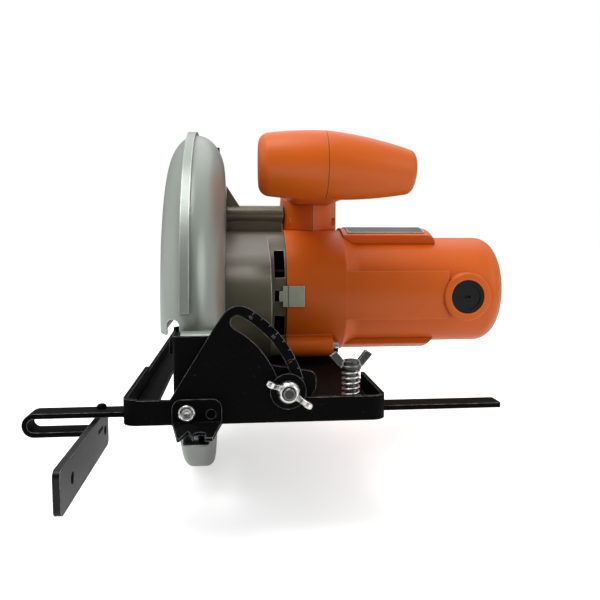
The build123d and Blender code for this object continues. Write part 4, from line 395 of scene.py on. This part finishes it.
def plated_steel(name, colour, roughness, corner_shade_tone, metal=1.0, rim=0.35 * MM, fold=None):
    """Zinc plating with fine scratches, rims lightened as painted highlight, and painted shade in its
    threads, corners and fold.
    """
    shade = new_finish(name)
    cloud = shade.noise(120.0, 4.0)
    # corner marks threads and corners that get painted shade
    corner = shade.steps(shade.openness(2.5 * MM), 0.3, 0.95, 1.0, 0.0)
    base = shade.blend(shade.steps(cloud, 0.3, 0.7), tint(colour, 0.88), tint(colour, 1.06))
    # painted shade in threads and corners
    base = shade.blend(corner * 0.8, base, plain(corner_shade_tone))
    # painted highlight along the rims
    base = shade.blend(shade.edges(rim) * 0.8, base, RIM_HIGHLIGHT)
    # painted shade: a dark line along the clip's fold, where the bend turns from the light
    if fold is not None:
        crease = shade.near("X", fold, 0.25 * MM, 0.6 * MM)
        base = shade.blend(crease * 0.8, base, tint(colour, 0.15))
    scratch = shade.steps(shade.stretched((900.0, 160.0, 900.0), 3.0), 0.62, 0.74)
    rough = roughness + cloud * 0.12 + scratch * 0.1 + corner * 0.2
    return shade.finish(base, rough, metal, cloud + scratch * 0.4, 0.006 * MM, 0.3 * MM)


def guard_metal(name, colour, bare):
    """Pale cast guard, with rub marks along its rim from chips and timber, and painted shade in its
    corners.
    """
    shade = new_finish(name)
    cloud = shade.noise(24.0, 4.0)
    grain = shade.noise(900.0, 3.0)
    sharp = shade.edges(0.9 * MM)
    radius = shade.around(SPINDLE)
    rub = shade.steps(shade.lines(radius, 2400.0, 2.0), 0.5, 0.72)
    # corner marks the corners that get painted shade
    corner = shade.steps(shade.openness(8 * MM), 0.3, 0.95, 1.0, 0.0)
    base = shade.blend(shade.steps(cloud, 0.3, 0.7), tint(colour, 0.9), tint(colour, 1.06))
    base = shade.blend(rub * 0.2, base, plain(bare))
    # painted shade in corners
    base = shade.blend(corner * 0.55, base, tint(colour, 0.3))
    base = shade.blend(sharp * 0.5, base, plain(bare))
    rough = 0.4 + cloud * 0.12 - rub * 0.08
    return shade.finish(base, rough, 0.2 + sharp * 0.5, grain, 0.03 * MM, 0.6 * MM)


def ground_blade(name, colour):
    """Blade steel ground in rings about the spindle."""
    shade = new_finish(name)
    radius = shade.around(SPINDLE)
    rings = shade.lines(radius, 5200.0, 3.0)
    broad = shade.lines(radius, 420.0, 2.0)
    cloud = shade.noise(26.0, 4.0)
    base = shade.blend(shade.steps(rings, 0.25, 0.75), tint(colour, 0.8), tint(colour, 1.1))
    base = shade.blend(shade.steps(cloud, 0.45, 0.75) * 0.3, base, TARNISH)
    rough = 0.24 + rings * 0.16 + broad * 0.08
    return shade.finish(base, rough, 1.0, rings, 0.01 * MM, 0.2 * MM)


def carbide(name, colour):
    """Sintered tip with a dull ground face."""
    shade = new_finish(name)
    grain = shade.noise(5200.0, 2.0)
    base = shade.blend(shade.steps(grain, 0.3, 0.7), tint(colour, 0.75), tint(colour, 1.15))
    return shade.finish(base, 0.38 + grain * 0.15, 0.85, grain, 0.01 * MM, 0.15 * MM)


def stacked_sheets(name, colour):
    """Stack of thin iron sheets, seen as fine lines across the shaft."""
    shade = new_finish(name)
    sheets = shade.lines(shade.along("X"), 2100.0, 1.0)
    rust = shade.steps(shade.noise(90.0, 4.0), 0.52, 0.72)
    base = shade.blend(shade.steps(sheets, 0.35, 0.65), tint(colour, 0.55), tint(colour, 1.25))
    base = shade.blend(rust * 0.3, base, RUST)
    return shade.finish(base, 0.42 + sheets * 0.2, 0.7, sheets, 0.08 * MM, 0.3 * MM)


def wound_copper(name, colour):
    """Lacquered wire, laid in fine turns."""
    shade = new_finish(name)
    turns = shade.lines(shade.around(MOTOR), 2600.0, 1.0)
    cross = shade.lines(shade.along("X"), 1500.0, 1.0)
    base = shade.blend(shade.steps(turns + cross, 0.7, 1.3), tint(colour, 0.5), tint(colour, 1.2))
    coat = {"Coat Weight": 0.6}
    return shade.finish(base, 0.3 + turns * 0.12, 0.9, turns + cross, 0.1 * MM, 0.4 * MM, coat)


def pressed_carbon(name, colour):
    """Pressed brush carbon with a soft grainy face."""
    shade = new_finish(name)
    grain = shade.noise(3800.0, 3.0)
    base = shade.blend(shade.steps(grain, 0.3, 0.7), tint(colour, 0.6), tint(colour, 1.6))
    return shade.finish(base, 0.6 + grain * 0.2, 0.1, grain, 0.03 * MM, 0.2 * MM)


def bare_plate(name, colour, rim):
    """Dark satin plate with a bright bare rim."""
    shade = new_finish(name)
    cloud = shade.noise(60.0, 4.0)
    brushed = shade.stretched((90.0, 3000.0, 3000.0), 2.0)
    edge = shade.edges(1.3 * MM, 0.01, 0.05)
    base = shade.blend(shade.steps(cloud, 0.3, 0.7), tint(colour, 0.8), tint(colour, 1.3))
    base = shade.blend(edge, base, plain(rim))
    return shade.finish(base, 0.3 + brushed * 0.2, 0.4 + edge * 0.5, brushed, 0.01 * MM, 0.2 * MM)


def stamped_mark(name, colour):
    """Worn paint left in stamped figures and ticks."""
    shade = new_finish(name)
    wear = shade.steps(shade.noise(900.0, 5.0), 0.35, 0.65)
    base = shade.blend(wear, tint(colour, 0.35), plain(colour))
    return shade.finish(base, 0.42 + wear * 0.15, 0.3, wear, 0.02 * MM, 0.08 * MM)


def colour_value(name, description, default):
    return FloatVectorProperty(
        name=name, description=description, subtype="COLOR", size=3, min=0.0, max=1.0, default=default
    )


def length_value(name, description, default):
    return FloatProperty(
        name=name, description=description, subtype="DISTANCE", unit="LENGTH", default=default
    )


def angle_value(name, description, default):
    return FloatProperty(
        name=name, description=description, subtype="ANGLE", unit="ROTATION", default=radians(default)
    )


def strength_value(name, description, default):
    return FloatProperty(name=name, description=description, default=default)


def place_value(name, description, default):
    return FloatVectorProperty(
        name=name, description=description, subtype="TRANSLATION", unit="LENGTH", default=default
    )


class SawColours(bpy.types.PropertyGroup):
    """Colours of the finishes."""

    shell: colour_value("Shell", "Orange moulded shells and motor housing", (0.68, 0.117, 0.005))
    casting: colour_value("Casting", "Silver grey paint on the upper guard", (0.3, 0.335, 0.297))
    # painted shade: the casting paint darkened for the gear housing, which sits in shade under the
    # barrel
    gear_case: colour_value("Gear housing", "Bronze grey of the gear housing", (0.12, 0.108, 0.07))
    paint: colour_value("Paint", "Black paint on the pressed steel", (0.0015, 0.0015, 0.0016))
    bare: colour_value("Bare steel", "Bare metal where paint has worn away", (0.5, 0.5, 0.49))
    zinc: colour_value("Zinc", "Plated screws, clamps and spring", (0.72, 0.73, 0.72))
    clip: colour_value("Clip", "Passivated spring steel clip", (0.4, 0.42, 0.32))
    dark_zinc: colour_value("Dark zinc", "Duller plating of stud and fence bolt", (0.05, 0.05, 0.047))
    # painted shade: the tone laid into threads and corners of plated parts
    zinc_dull: colour_value("Dull zinc", "Plating in threads and corners", (0.16, 0.155, 0.14))
    guard: colour_value("Lower guard", "Pale cast lower guard", (0.37, 0.395, 0.37))
    blade: colour_value("Blade", "Ground blade steel", (0.56, 0.57, 0.58))
    tips: colour_value("Tips", "Carbide tips", (0.24, 0.24, 0.25))
    iron: colour_value("Iron", "Stacked sheets of field and armature", (0.15, 0.15, 0.16))
    copper: colour_value("Copper", "Lacquered winding wire", (0.56, 0.2, 0.075))
    trim: colour_value("Trim", "Dark moulded trim", (0.005, 0.005, 0.006))
    carbon: colour_value("Carbon", "Brush carbon", (0.028, 0.028, 0.03))
    plate: colour_value("Plate", "Bare dark plate on the motor", (0.045, 0.048, 0.053))
    marks: colour_value("Marks", "Figures and ticks of the bevel scale", (0.16, 0.16, 0.155))
    floor: colour_value("Floor", "Studio floor", (0.9, 0.9, 0.9))


class SawSizes(bpy.types.PropertyGroup):
    """Sizes of the modelled fittings."""

    figure_height: length_value("Figure height", "Height of the bevel figures", 2.3 * MM)
    mark_depth: length_value("Mark depth", "Thickness of the figures and ticks", 0.03 * MM)
    tick_width: length_value("Tick width", "Width of one tick of the bevel scale", 0.35 * MM)
    scale_radius: length_value("Scale radius", "Radius of the row of figures", 54.9 * MM)
    scale_step: IntProperty(
        name="Scale step", description="Degrees between ticks", default=5, min=1, max=15
    )
    thread_pitch: length_value("Thread pitch", "Pitch of the clamp threads", 1.0 * MM)
    bolt_radius: length_value("Bolt radius", "Radius over the thread of the fence bolt", 3.0 * MM)
    bolt_turn: angle_value("Bolt turn", "Turn of the fence bolt's ears from crossways", 10.0)
    nut_lean: angle_value("Nut lean", "Turn of the bevel nut's arms from level", 30.0)


class SawStudio(bpy.types.PropertyGroup):
    """Camera and light of the studio."""

    eye: place_value("Eye", "Place of the camera", (-0.00915, -0.4385, 0.0874))
    turn: angle_value("Turn", "Camera turn to the right", 5.5997)
    dip: angle_value("Dip", "Camera tilt downwards", 5.2739)
    lens: FloatProperty(name="Lens", description="Focal length", subtype="DISTANCE_CAMERA", default=39.0)
    key_place: place_value("Key place", "Place of the overhead light", (-0.3, -0.32, 1.3))
    key_size: length_value("Key size", "Width of the overhead light", 0.9)
    key_power: strength_value("Key light", "Power of the overhead light", 9.5)
    fill_place: place_value("Fill place", "Place of the side light", (0.9, -0.7, 0.5))
    fill_size: length_value("Fill size", "Width of the side light", 0.8)
    fill_power: strength_value("Fill light", "Power of the side light", 3.0)
    rim_place: place_value("Rim place", "Place of the light above and behind", (0.15, 0.65, 1.0))
    rim_size: length_value("Rim size", "Width of the light above and behind", 1.1)
    rim_power: strength_value("Rim light", "Power of the light above and behind", 2.0)
    sky: strength_value("Sky", "Strength of the even light", 0.6)
    floor_glow: strength_value("Floor glow", "How much paler the floor is seen", 0.58)


def new_piece(name, bm, material):
    """Object at the origin from a finished mesh, with its finish."""
    bmesh.ops.remove_doubles(bm, verts=bm.verts, dist=MERGE_GAP)
    bmesh.ops.recalc_face_normals(bm, faces=bm.faces)
    mesh = bpy.data.meshes.new(name)
    bm.to_mesh(mesh)
    bm.free()
    piece = bpy.data.objects.new(name, mesh)
    bpy.context.scene.collection.objects.link(piece)
    piece.data.materials.append(material)
    return piece


def finish_of(name):
    if name not in bpy.data.materials:
        raise RuntimeError(f"the finish {name} has to be made first")
    return bpy.data.materials[name]


def dress(names, material):
    for name in names:
        node = frame["nodes"][name]
        node.data.materials.clear()
        node.data.materials.append(material)


def slot_nodes(slot):
    """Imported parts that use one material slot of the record."""
    return [part["node"] for part in frame["record"]["subparts"] if part["material_slot"] == slot]


def spun(bm, outline, centre, axis, steps=TURNED_STEPS):
    """Turn an outline of (radius, along) points in millimetres a full turn about Y or Z."""
    across = Vector((1.0, 0.0, 0.0))
    points = [bm.verts.new(centre + (across * radius + axis * along) * MM) for radius, along in outline]
    chain = [bm.edges.new(pair) for pair in zip(points, points[1:])]
    bmesh.ops.spin(
        bm, geom=points + chain, cent=centre, axis=axis, angle=2 * pi, steps=steps, use_merge=True
    )


def rounded_plate(bm, outline, thickness, rounding, place):
    """Flat outline in millimetres made a solid plate with rounded rims, set in its place."""
    part = bmesh.new()
    face = part.faces.new([part.verts.new((x * MM, y * MM, -thickness / 2)) for x, y in outline])
    made = bmesh.ops.extrude_face_region(part, geom=[face])["geom"]
    lifted = [item for item in made if isinstance(item, bmesh.types.BMVert)]
    bmesh.ops.translate(part, verts=lifted, vec=(0.0, 0.0, thickness))
    flats = [face] + [item for item in made if isinstance(item, bmesh.types.BMFace)]
    rims = {rim for flat in flats for rim in flat.edges}
    bmesh.ops.bevel(
        part, geom=list(rims), offset=rounding, affect="EDGES", segments=ROUNDING_SEGMENTS,
        profile=0.5, material=-1,
    )
    bmesh.ops.transform(part, matrix=place, verts=part.verts)
    mesh = bpy.data.meshes.new("plate")
    part.to_mesh(mesh)
    part.free()
    bm.from_mesh(mesh)
    bpy.data.meshes.remove(mesh)


class SAW_OT_shells(bpy.types.Operator):
    """Orange moulded shells, motor housing and dark moulded trim"""

    bl_idname = "saw.shells"
    bl_label = "Finish the shells"

    def execute(self, context):
        colours = context.scene.saw_colours
        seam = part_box("handle_left")[1].x
        orange = moulded_plastic("orange_shell", colours.shell, gloss=0.36, shine=0.34)
        dress(slot_nodes("orange_plastic"), orange)
        dress(HANDLE, moulded_plastic("handle_shell", colours.shell, gloss=0.36, shine=0.34, seam=seam))
        dark = moulded_plastic("dark_trim", colours.trim, gloss=0.36, shine=0.22)
        dress(slot_nodes("dark_plastic"), dark)
        dress(["nameplate"], bare_plate("bare_plate", colours.plate, colours.zinc))
        return {"FINISHED"}


class SAW_OT_castings(bpy.types.Operator):
    """Painted guard, the gear housing in a darker copy of that paint as painted shade, and the pale
    lower guard
    """

    bl_idname = "saw.castings"
    bl_label = "Finish the castings"

    def execute(self, context):
        colours = context.scene.saw_colours
        silver = cast_paint("silver_paint", colours.casting, colours.zinc, lustre=0.4)
        dress(slot_nodes("grey_casting"), silver)
        # painted shade: same casting paint, darkened for the shaded gear housing
        shaded_casting = cast_paint("gear_paint", colours.gear_case, colours.zinc, lustre=0.12)
        dress(["gear_housing"], shaded_casting)
        dress(slot_nodes("guard_metal"), guard_metal("pale_guard", colours.guard, colours.zinc))
        return {"FINISHED"}


class SAW_OT_steel(bpy.types.Operator):
    """Black pressed steel and plated fasteners"""

    bl_idname = "saw.steel"
    bl_label = "Finish the steel"

    def execute(self, context):
        colours = context.scene.saw_colours
        corner_shade_tone = colours.zinc_dull
        matt = black_paint("black_paint", colours.paint, colours.bare, gloss=0.55, shine=0.045)
        dress(slot_nodes("black_steel"), matt)
        rubbed_sheen = black_paint("fence_paint", colours.paint, colours.bare, gloss=0.28, shine=0.24)
        dress(["fence_plate"], rubbed_sheen)
        zinc = plated_steel("zinc_plate", colours.zinc, 0.16, corner_shade_tone)
        dress(slot_nodes("zinc_steel"), zinc)
        dark = plated_steel("dark_plate", colours.dark_zinc, 0.26, corner_shade_tone, rim=WIDE_RIM)
        dress(["bevel_stud"], dark)
        low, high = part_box("spanner_clip")
        fold = low.x + CLIP_FOLD_SHARE * (high.x - low.x)
        clip = plated_steel("clip_steel", colours.clip, 0.38, corner_shade_tone, metal=0.55, rim=WIDE_RIM, fold=fold)
        dress(["spanner_clip"], clip)
        return {"FINISHED"}


class SAW_OT_blade(bpy.types.Operator):
    """Ground blade and its carbide tips"""

    bl_idname = "saw.blade"
    bl_label = "Finish the blade"

    def execute(self, context):
        colours = context.scene.saw_colours
        dress(slot_nodes("blade_steel"), ground_blade("ground_steel", colours.blade))
        dress(slot_nodes("carbide"), carbide("carbide", colours.tips))
        return {"FINISHED"}


class SAW_OT_motor(bpy.types.Operator):
    """Iron, windings and brushes inside the motor"""

    bl_idname = "saw.motor"
    bl_label = "Finish the motor"

    def execute(self, context):
        colours = context.scene.saw_colours
        dress(slot_nodes("lamination"), stacked_sheets("stacked_iron", colours.iron))
        dress(slot_nodes("copper"), wound_copper("wound_copper", colours.copper))
        dress(slot_nodes("carbon"), pressed_carbon("pressed_carbon", colours.carbon))
        return {"FINISHED"}


class SAW_OT_bevel_scale(bpy.types.Operator):
    """Figures and ticks of the bevel scale on the quadrant"""

    bl_idname = "saw.bevel_scale"
    bl_label = "Make the bevel scale"

    def execute(self, context):
        sizes = context.scene.saw_sizes
        hinge = Matrix.Translation(Vector((PIVOT.x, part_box("base_plate")[0].y, PIVOT.z)))
        rest = STUD - PIVOT
        rest_angle = Vector((rest.x, rest.z)).angle_signed(Vector((1.0, 0.0)))
        bm = bmesh.new()
        for degree in range(0, FULL_BEVEL + 1, sizes.scale_step):
            turned = hinge @ Matrix.Rotation(-(rest_angle + radians(degree)), 4, "Y")
            long_tick = degree % FIGURE_STEP == 0
            self.add_tick(bm, sizes, turned, LONG_TICK if long_tick else SHORT_TICK)
            if long_tick and degree:
                self.add_figure(bm, context, turned, str(degree))
        finish = stamped_mark("stamped_marks", context.scene.saw_colours.marks)
        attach(new_piece("bevel_scale", bm, finish), "base")
        return {"FINISHED"}

    def add_tick(self, bm, sizes, turned, length):
        reach = sizes.scale_radius + TICK_REACH - length / 2
        spot = Matrix.Translation(Vector((reach, -sizes.mark_depth / 2, 0.0)))
        size = Matrix.Diagonal((length, sizes.mark_depth, sizes.tick_width, 1.0))
        made = bmesh.ops.create_cube(bm, size=1.0)["verts"]
        bmesh.ops.transform(bm, matrix=turned @ spot @ size, verts=made)

    def add_figure(self, bm, context, turned, figure):
        sizes = context.scene.saw_sizes
        words = bpy.data.curves.new("bevel_figure", "FONT")
        words.body = figure
        words.size = sizes.figure_height
        words.align_x = "CENTER"
        words.align_y = "CENTER"
        words.extrude = sizes.mark_depth / 2
        holder = bpy.data.objects.new("bevel_figure", words)
        context.scene.collection.objects.link(holder)
        context.view_layer.update()
        drawn = holder.evaluated_get(context.evaluated_depsgraph_get())
        mesh = bpy.data.meshes.new_from_object(drawn)
        reach = sizes.scale_radius - FIGURE_INSET
        spot = Matrix.Translation(Vector((reach, -sizes.mark_depth / 2, 0.0)))
        lean = Matrix.Rotation(radians(90), 4, "Y")
        mesh.transform(turned @ spot @ lean @ UPRIGHT)
        bm.from_mesh(mesh)
        bpy.data.objects.remove(holder)
        bpy.data.curves.remove(words)
        bpy.data.meshes.remove(mesh)


class SAW_OT_wing_nut(bpy.types.Operator):
    """Wing nut of the bevel clamp: domed hub with two slim arms"""

    bl_idname = "saw.wing_nut"
    bl_label = "Make the wing nut"

    def execute(self, context):
        centre = Vector((STUD.x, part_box("bevel_wing_nut")[1].y, STUD.z))
        bm = bmesh.new()
        spun(bm, NUT_HUB, centre, Y_AXIS)
        lean = context.scene.saw_sizes.nut_lean
        for side in (0.0, pi):
            place = Matrix.Translation(centre) @ Matrix.Rotation(lean + side, 4, "Y")
            rounded_plate(bm, NUT_ARM, NUT_ARM_THICKNESS, NUT_ARM_ROUNDING, place)
        piece = new_piece("wing_nut", bm, finish_of("zinc_plate"))
        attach(piece, "bevel_nut")
        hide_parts("bevel_wing_nut")
        return {"FINISHED"}


class SAW_OT_wing_bolt(bpy.types.Operator):
    """Wing bolt of the fence clamp: threaded shank, ringed hub and two upright ears"""

    bl_idname = "saw.wing_bolt"
    bl_label = "Make the wing bolt"

    def execute(self, context):
        sizes = context.scene.saw_sizes
        low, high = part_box("fence_wing_bolt")
        foot = Vector(((low.x + high.x) / 2, (low.y + high.y) / 2, low.z))
        hub = foot + Vector((0.0, 0.0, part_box("fence_spring")[1].z - low.z))
        pitch = sizes.thread_pitch
        crest = sizes.bolt_radius
        root = crest - THREAD_DEPTH_SHARE * pitch
        length = hub.z - foot.z
        shank = [(0.0, 0.0), (root, 0.0)]
        for turn in range(int(length / pitch)):
            shank.append((crest, (turn + CREST_START_SHARE) * pitch))
            shank.append((crest, (turn + CREST_END_SHARE) * pitch))
            shank.append((root, (turn + 1.0) * pitch))
        shank += [(root, length + SHANK_OVERLAP), (0.0, length + SHANK_OVERLAP)]
        bm = bmesh.new()
        spun(bm, [(radius / MM, along / MM) for radius, along in shank], foot, Z_AXIS, SHANK_STEPS)
        spun(bm, BOLT_HUB, hub, Z_AXIS)
        for side in (0.0, pi):
            place = Matrix.Translation(hub) @ Matrix.Rotation(sizes.bolt_turn + side, 4, "Z") @ UPRIGHT
            rounded_plate(bm, BOLT_EAR, BOLT_EAR_THICKNESS, BOLT_EAR_ROUNDING, place)
        piece = new_piece("wing_bolt", bm, finish_of("dark_plate"))
        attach(piece, "fence_bolt")
        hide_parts("fence_wing_bolt")
        return {"FINISHED"}


class SAW_OT_pivot_rivet(bpy.types.Operator):
    """Front rivet of the bevel hinge: rolled ring round a sunk middle"""

    bl_idname = "saw.pivot_rivet"
    bl_label = "Make the pivot rivet"

    def execute(self, context):
        low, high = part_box("bevel_pivot_front")
        back = (high.y - low.y) / MM
        tail = [(radius, back - ahead) for radius, ahead in RIVET_TAIL]
        bm = bmesh.new()
        spun(bm, RIVET_HEAD + tail, Vector((PIVOT.x, low.y, PIVOT.z)), Y_AXIS)
        piece = new_piece("pivot_rivet", bm, finish_of("zinc_plate"))
        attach(piece, "base")
        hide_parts("bevel_pivot_front")
        return {"FINISHED"}


class SAW_OT_stage(bpy.types.Operator):
    """Floor, even light, three soft lamps and the camera"""

    bl_idname = "saw.stage"
    bl_label = "Set up the studio"

    def execute(self, context):
        scene = context.scene
        studio = scene.saw_studio
        scene.view_settings.view_transform = "Standard"
        self.lay_floor(scene, studio)
        self.light_sky(scene, studio)
        self.add_lamp(scene, "key", studio.key_place, studio.key_size, studio.key_power)
        self.add_lamp(scene, "fill", studio.fill_place, studio.fill_size, studio.fill_power)
        self.add_lamp(scene, "rim", studio.rim_place, studio.rim_size, studio.rim_power)
        self.set_camera(scene, studio)
        return {"FINISHED"}

    def set_camera(self, scene, studio):
        data = bpy.data.cameras.new("camera")
        data.lens = studio.lens
        data.sensor_width = SENSOR_WIDTH
        data.clip_start = NEAREST_SEEN
        camera = bpy.data.objects.new("camera", data)
        scene.collection.objects.link(camera)
        level = cos(studio.dip)
        ahead = Vector((sin(studio.turn) * level, cos(studio.turn) * level, -sin(studio.dip)))
        camera.location = studio.eye
        camera.rotation_euler = ahead.to_track_quat("-Z", "Y").to_euler()
        scene.camera = camera

    def lay_floor(self, scene, studio):
        """Matt floor that keeps the shadow and is seen paler than the lamps make it."""
        shade = new_finish("studio_floor")
        mirror = shade.ray("Glossy").largest(shade.ray("Transmission"))
        seen = shade.ray("Camera").largest(mirror * MIRRORED_GLOW)
        matt = shade.add("ShaderNodeBsdfDiffuse", None, {"Color": plain(scene.saw_colours.floor)})
        sockets = {"Color": seen * studio.floor_glow, "Strength": 1.0}
        glow = shade.add("ShaderNodeEmission", None, sockets)
        both = shade.add("ShaderNodeAddShader", None, {0: matt, 1: glow})
        shade.add("ShaderNodeOutputMaterial", None, {"Surface": both})
        bm = bmesh.new()
        bmesh.ops.create_grid(bm, x_segments=1, y_segments=1, size=FLOOR_REACH)
        bmesh.ops.translate(bm, verts=bm.verts, vec=(0.0, FLOOR_SHIFT, FLOOR_Z - FLOOR_GAP))
        mesh = bpy.data.meshes.new("floor")
        bm.to_mesh(mesh)
        bm.free()
        floor = bpy.data.objects.new("floor", mesh)
        scene.collection.objects.link(floor)
        floor.data.materials.append(shade.owner)

    def light_sky(self, scene, studio):
        """White backdrop to look at, soft light from above, and a dim room behind the camera."""
        scene.world = bpy.data.worlds.new("studio")
        shade = Shade(scene.world, "Generated")
        upper = shade.steps(shade.along("Z"), 0.05, 0.8)
        ahead = shade.steps(shade.along("Y"), -0.75, 0.1, 0.25, 1.0)
        beside = shade.steps(shade.along("X"), -0.95, -0.3, 1.1, 0.0)
        right = shade.steps(shade.along("X"), 0.55, 0.95, 0.0, 0.8)
        mirror = shade.ray("Glossy").largest(shade.ray("Transmission"))
        even = (upper * 1.05 + 0.2) * ahead * studio.sky + beside
        room = ((upper * 0.88 + 0.12) * ahead).largest(beside).largest(right)
        level = shade.ray("Camera").largest(even + mirror * (room - even))
        light = shade.add("ShaderNodeBackground", None, {"Color": level, "Strength": 1.0})
        shade.add("ShaderNodeOutputWorld", None, {"Surface": light})

    def add_lamp(self, scene, name, place, size, power):
        data = bpy.data.lights.new(name, "AREA")
        data.shape = "DISK"
        data.size = size
        data.energy = power
        lamp = bpy.data.objects.new(name, data)
        lamp.location = place
        lamp.rotation_euler = (LAMP_AIM - Vector(place)).to_track_quat("-Z", "Y").to_euler()
        scene.collection.objects.link(lamp)


OPERATORS = [
    SAW_OT_shells, SAW_OT_castings, SAW_OT_steel, SAW_OT_blade, SAW_OT_motor,
    SAW_OT_bevel_scale, SAW_OT_wing_nut, SAW_OT_wing_bolt, SAW_OT_pivot_rivet, SAW_OT_stage,
]


class SAW_PT_panel(bpy.types.Panel):
    """Steps that build the looks of the saw"""

    bl_idname = "SAW_PT_panel"
    bl_label = "Circular Saw"
    bl_space_type = "VIEW_3D"
    bl_region_type = "UI"
    bl_category = "Saw"

    def draw(self, context):
        for operator in OPERATORS:
            self.layout.operator(operator.bl_idname)


CLASSES = [SawColours, SawSizes, SawStudio] + OPERATORS + [SAW_PT_panel]


def register():
    for item in CLASSES:
        bpy.utils.register_class(item)
    bpy.types.Scene.saw_colours = PointerProperty(type=SawColours)
    bpy.types.Scene.saw_sizes = PointerProperty(type=SawSizes)
    bpy.types.Scene.saw_studio = PointerProperty(type=SawStudio)


def unregister():
    del bpy.types.Scene.saw_studio
    del bpy.types.Scene.saw_sizes
    del bpy.types.Scene.saw_colours
    for item in reversed(CLASSES):
        bpy.utils.unregister_class(item)


def main():
    register()
    bpy.ops.saw.shells()
    bpy.ops.saw.castings()
    bpy.ops.saw.steel()
    bpy.ops.saw.blade()
    bpy.ops.saw.motor()
    bpy.ops.saw.bevel_scale()
    bpy.ops.saw.wing_nut()
    bpy.ops.saw.wing_bolt()
    bpy.ops.saw.pivot_rivet()
    bpy.ops.saw.stage()


if __name__ == "__main__":
    main()
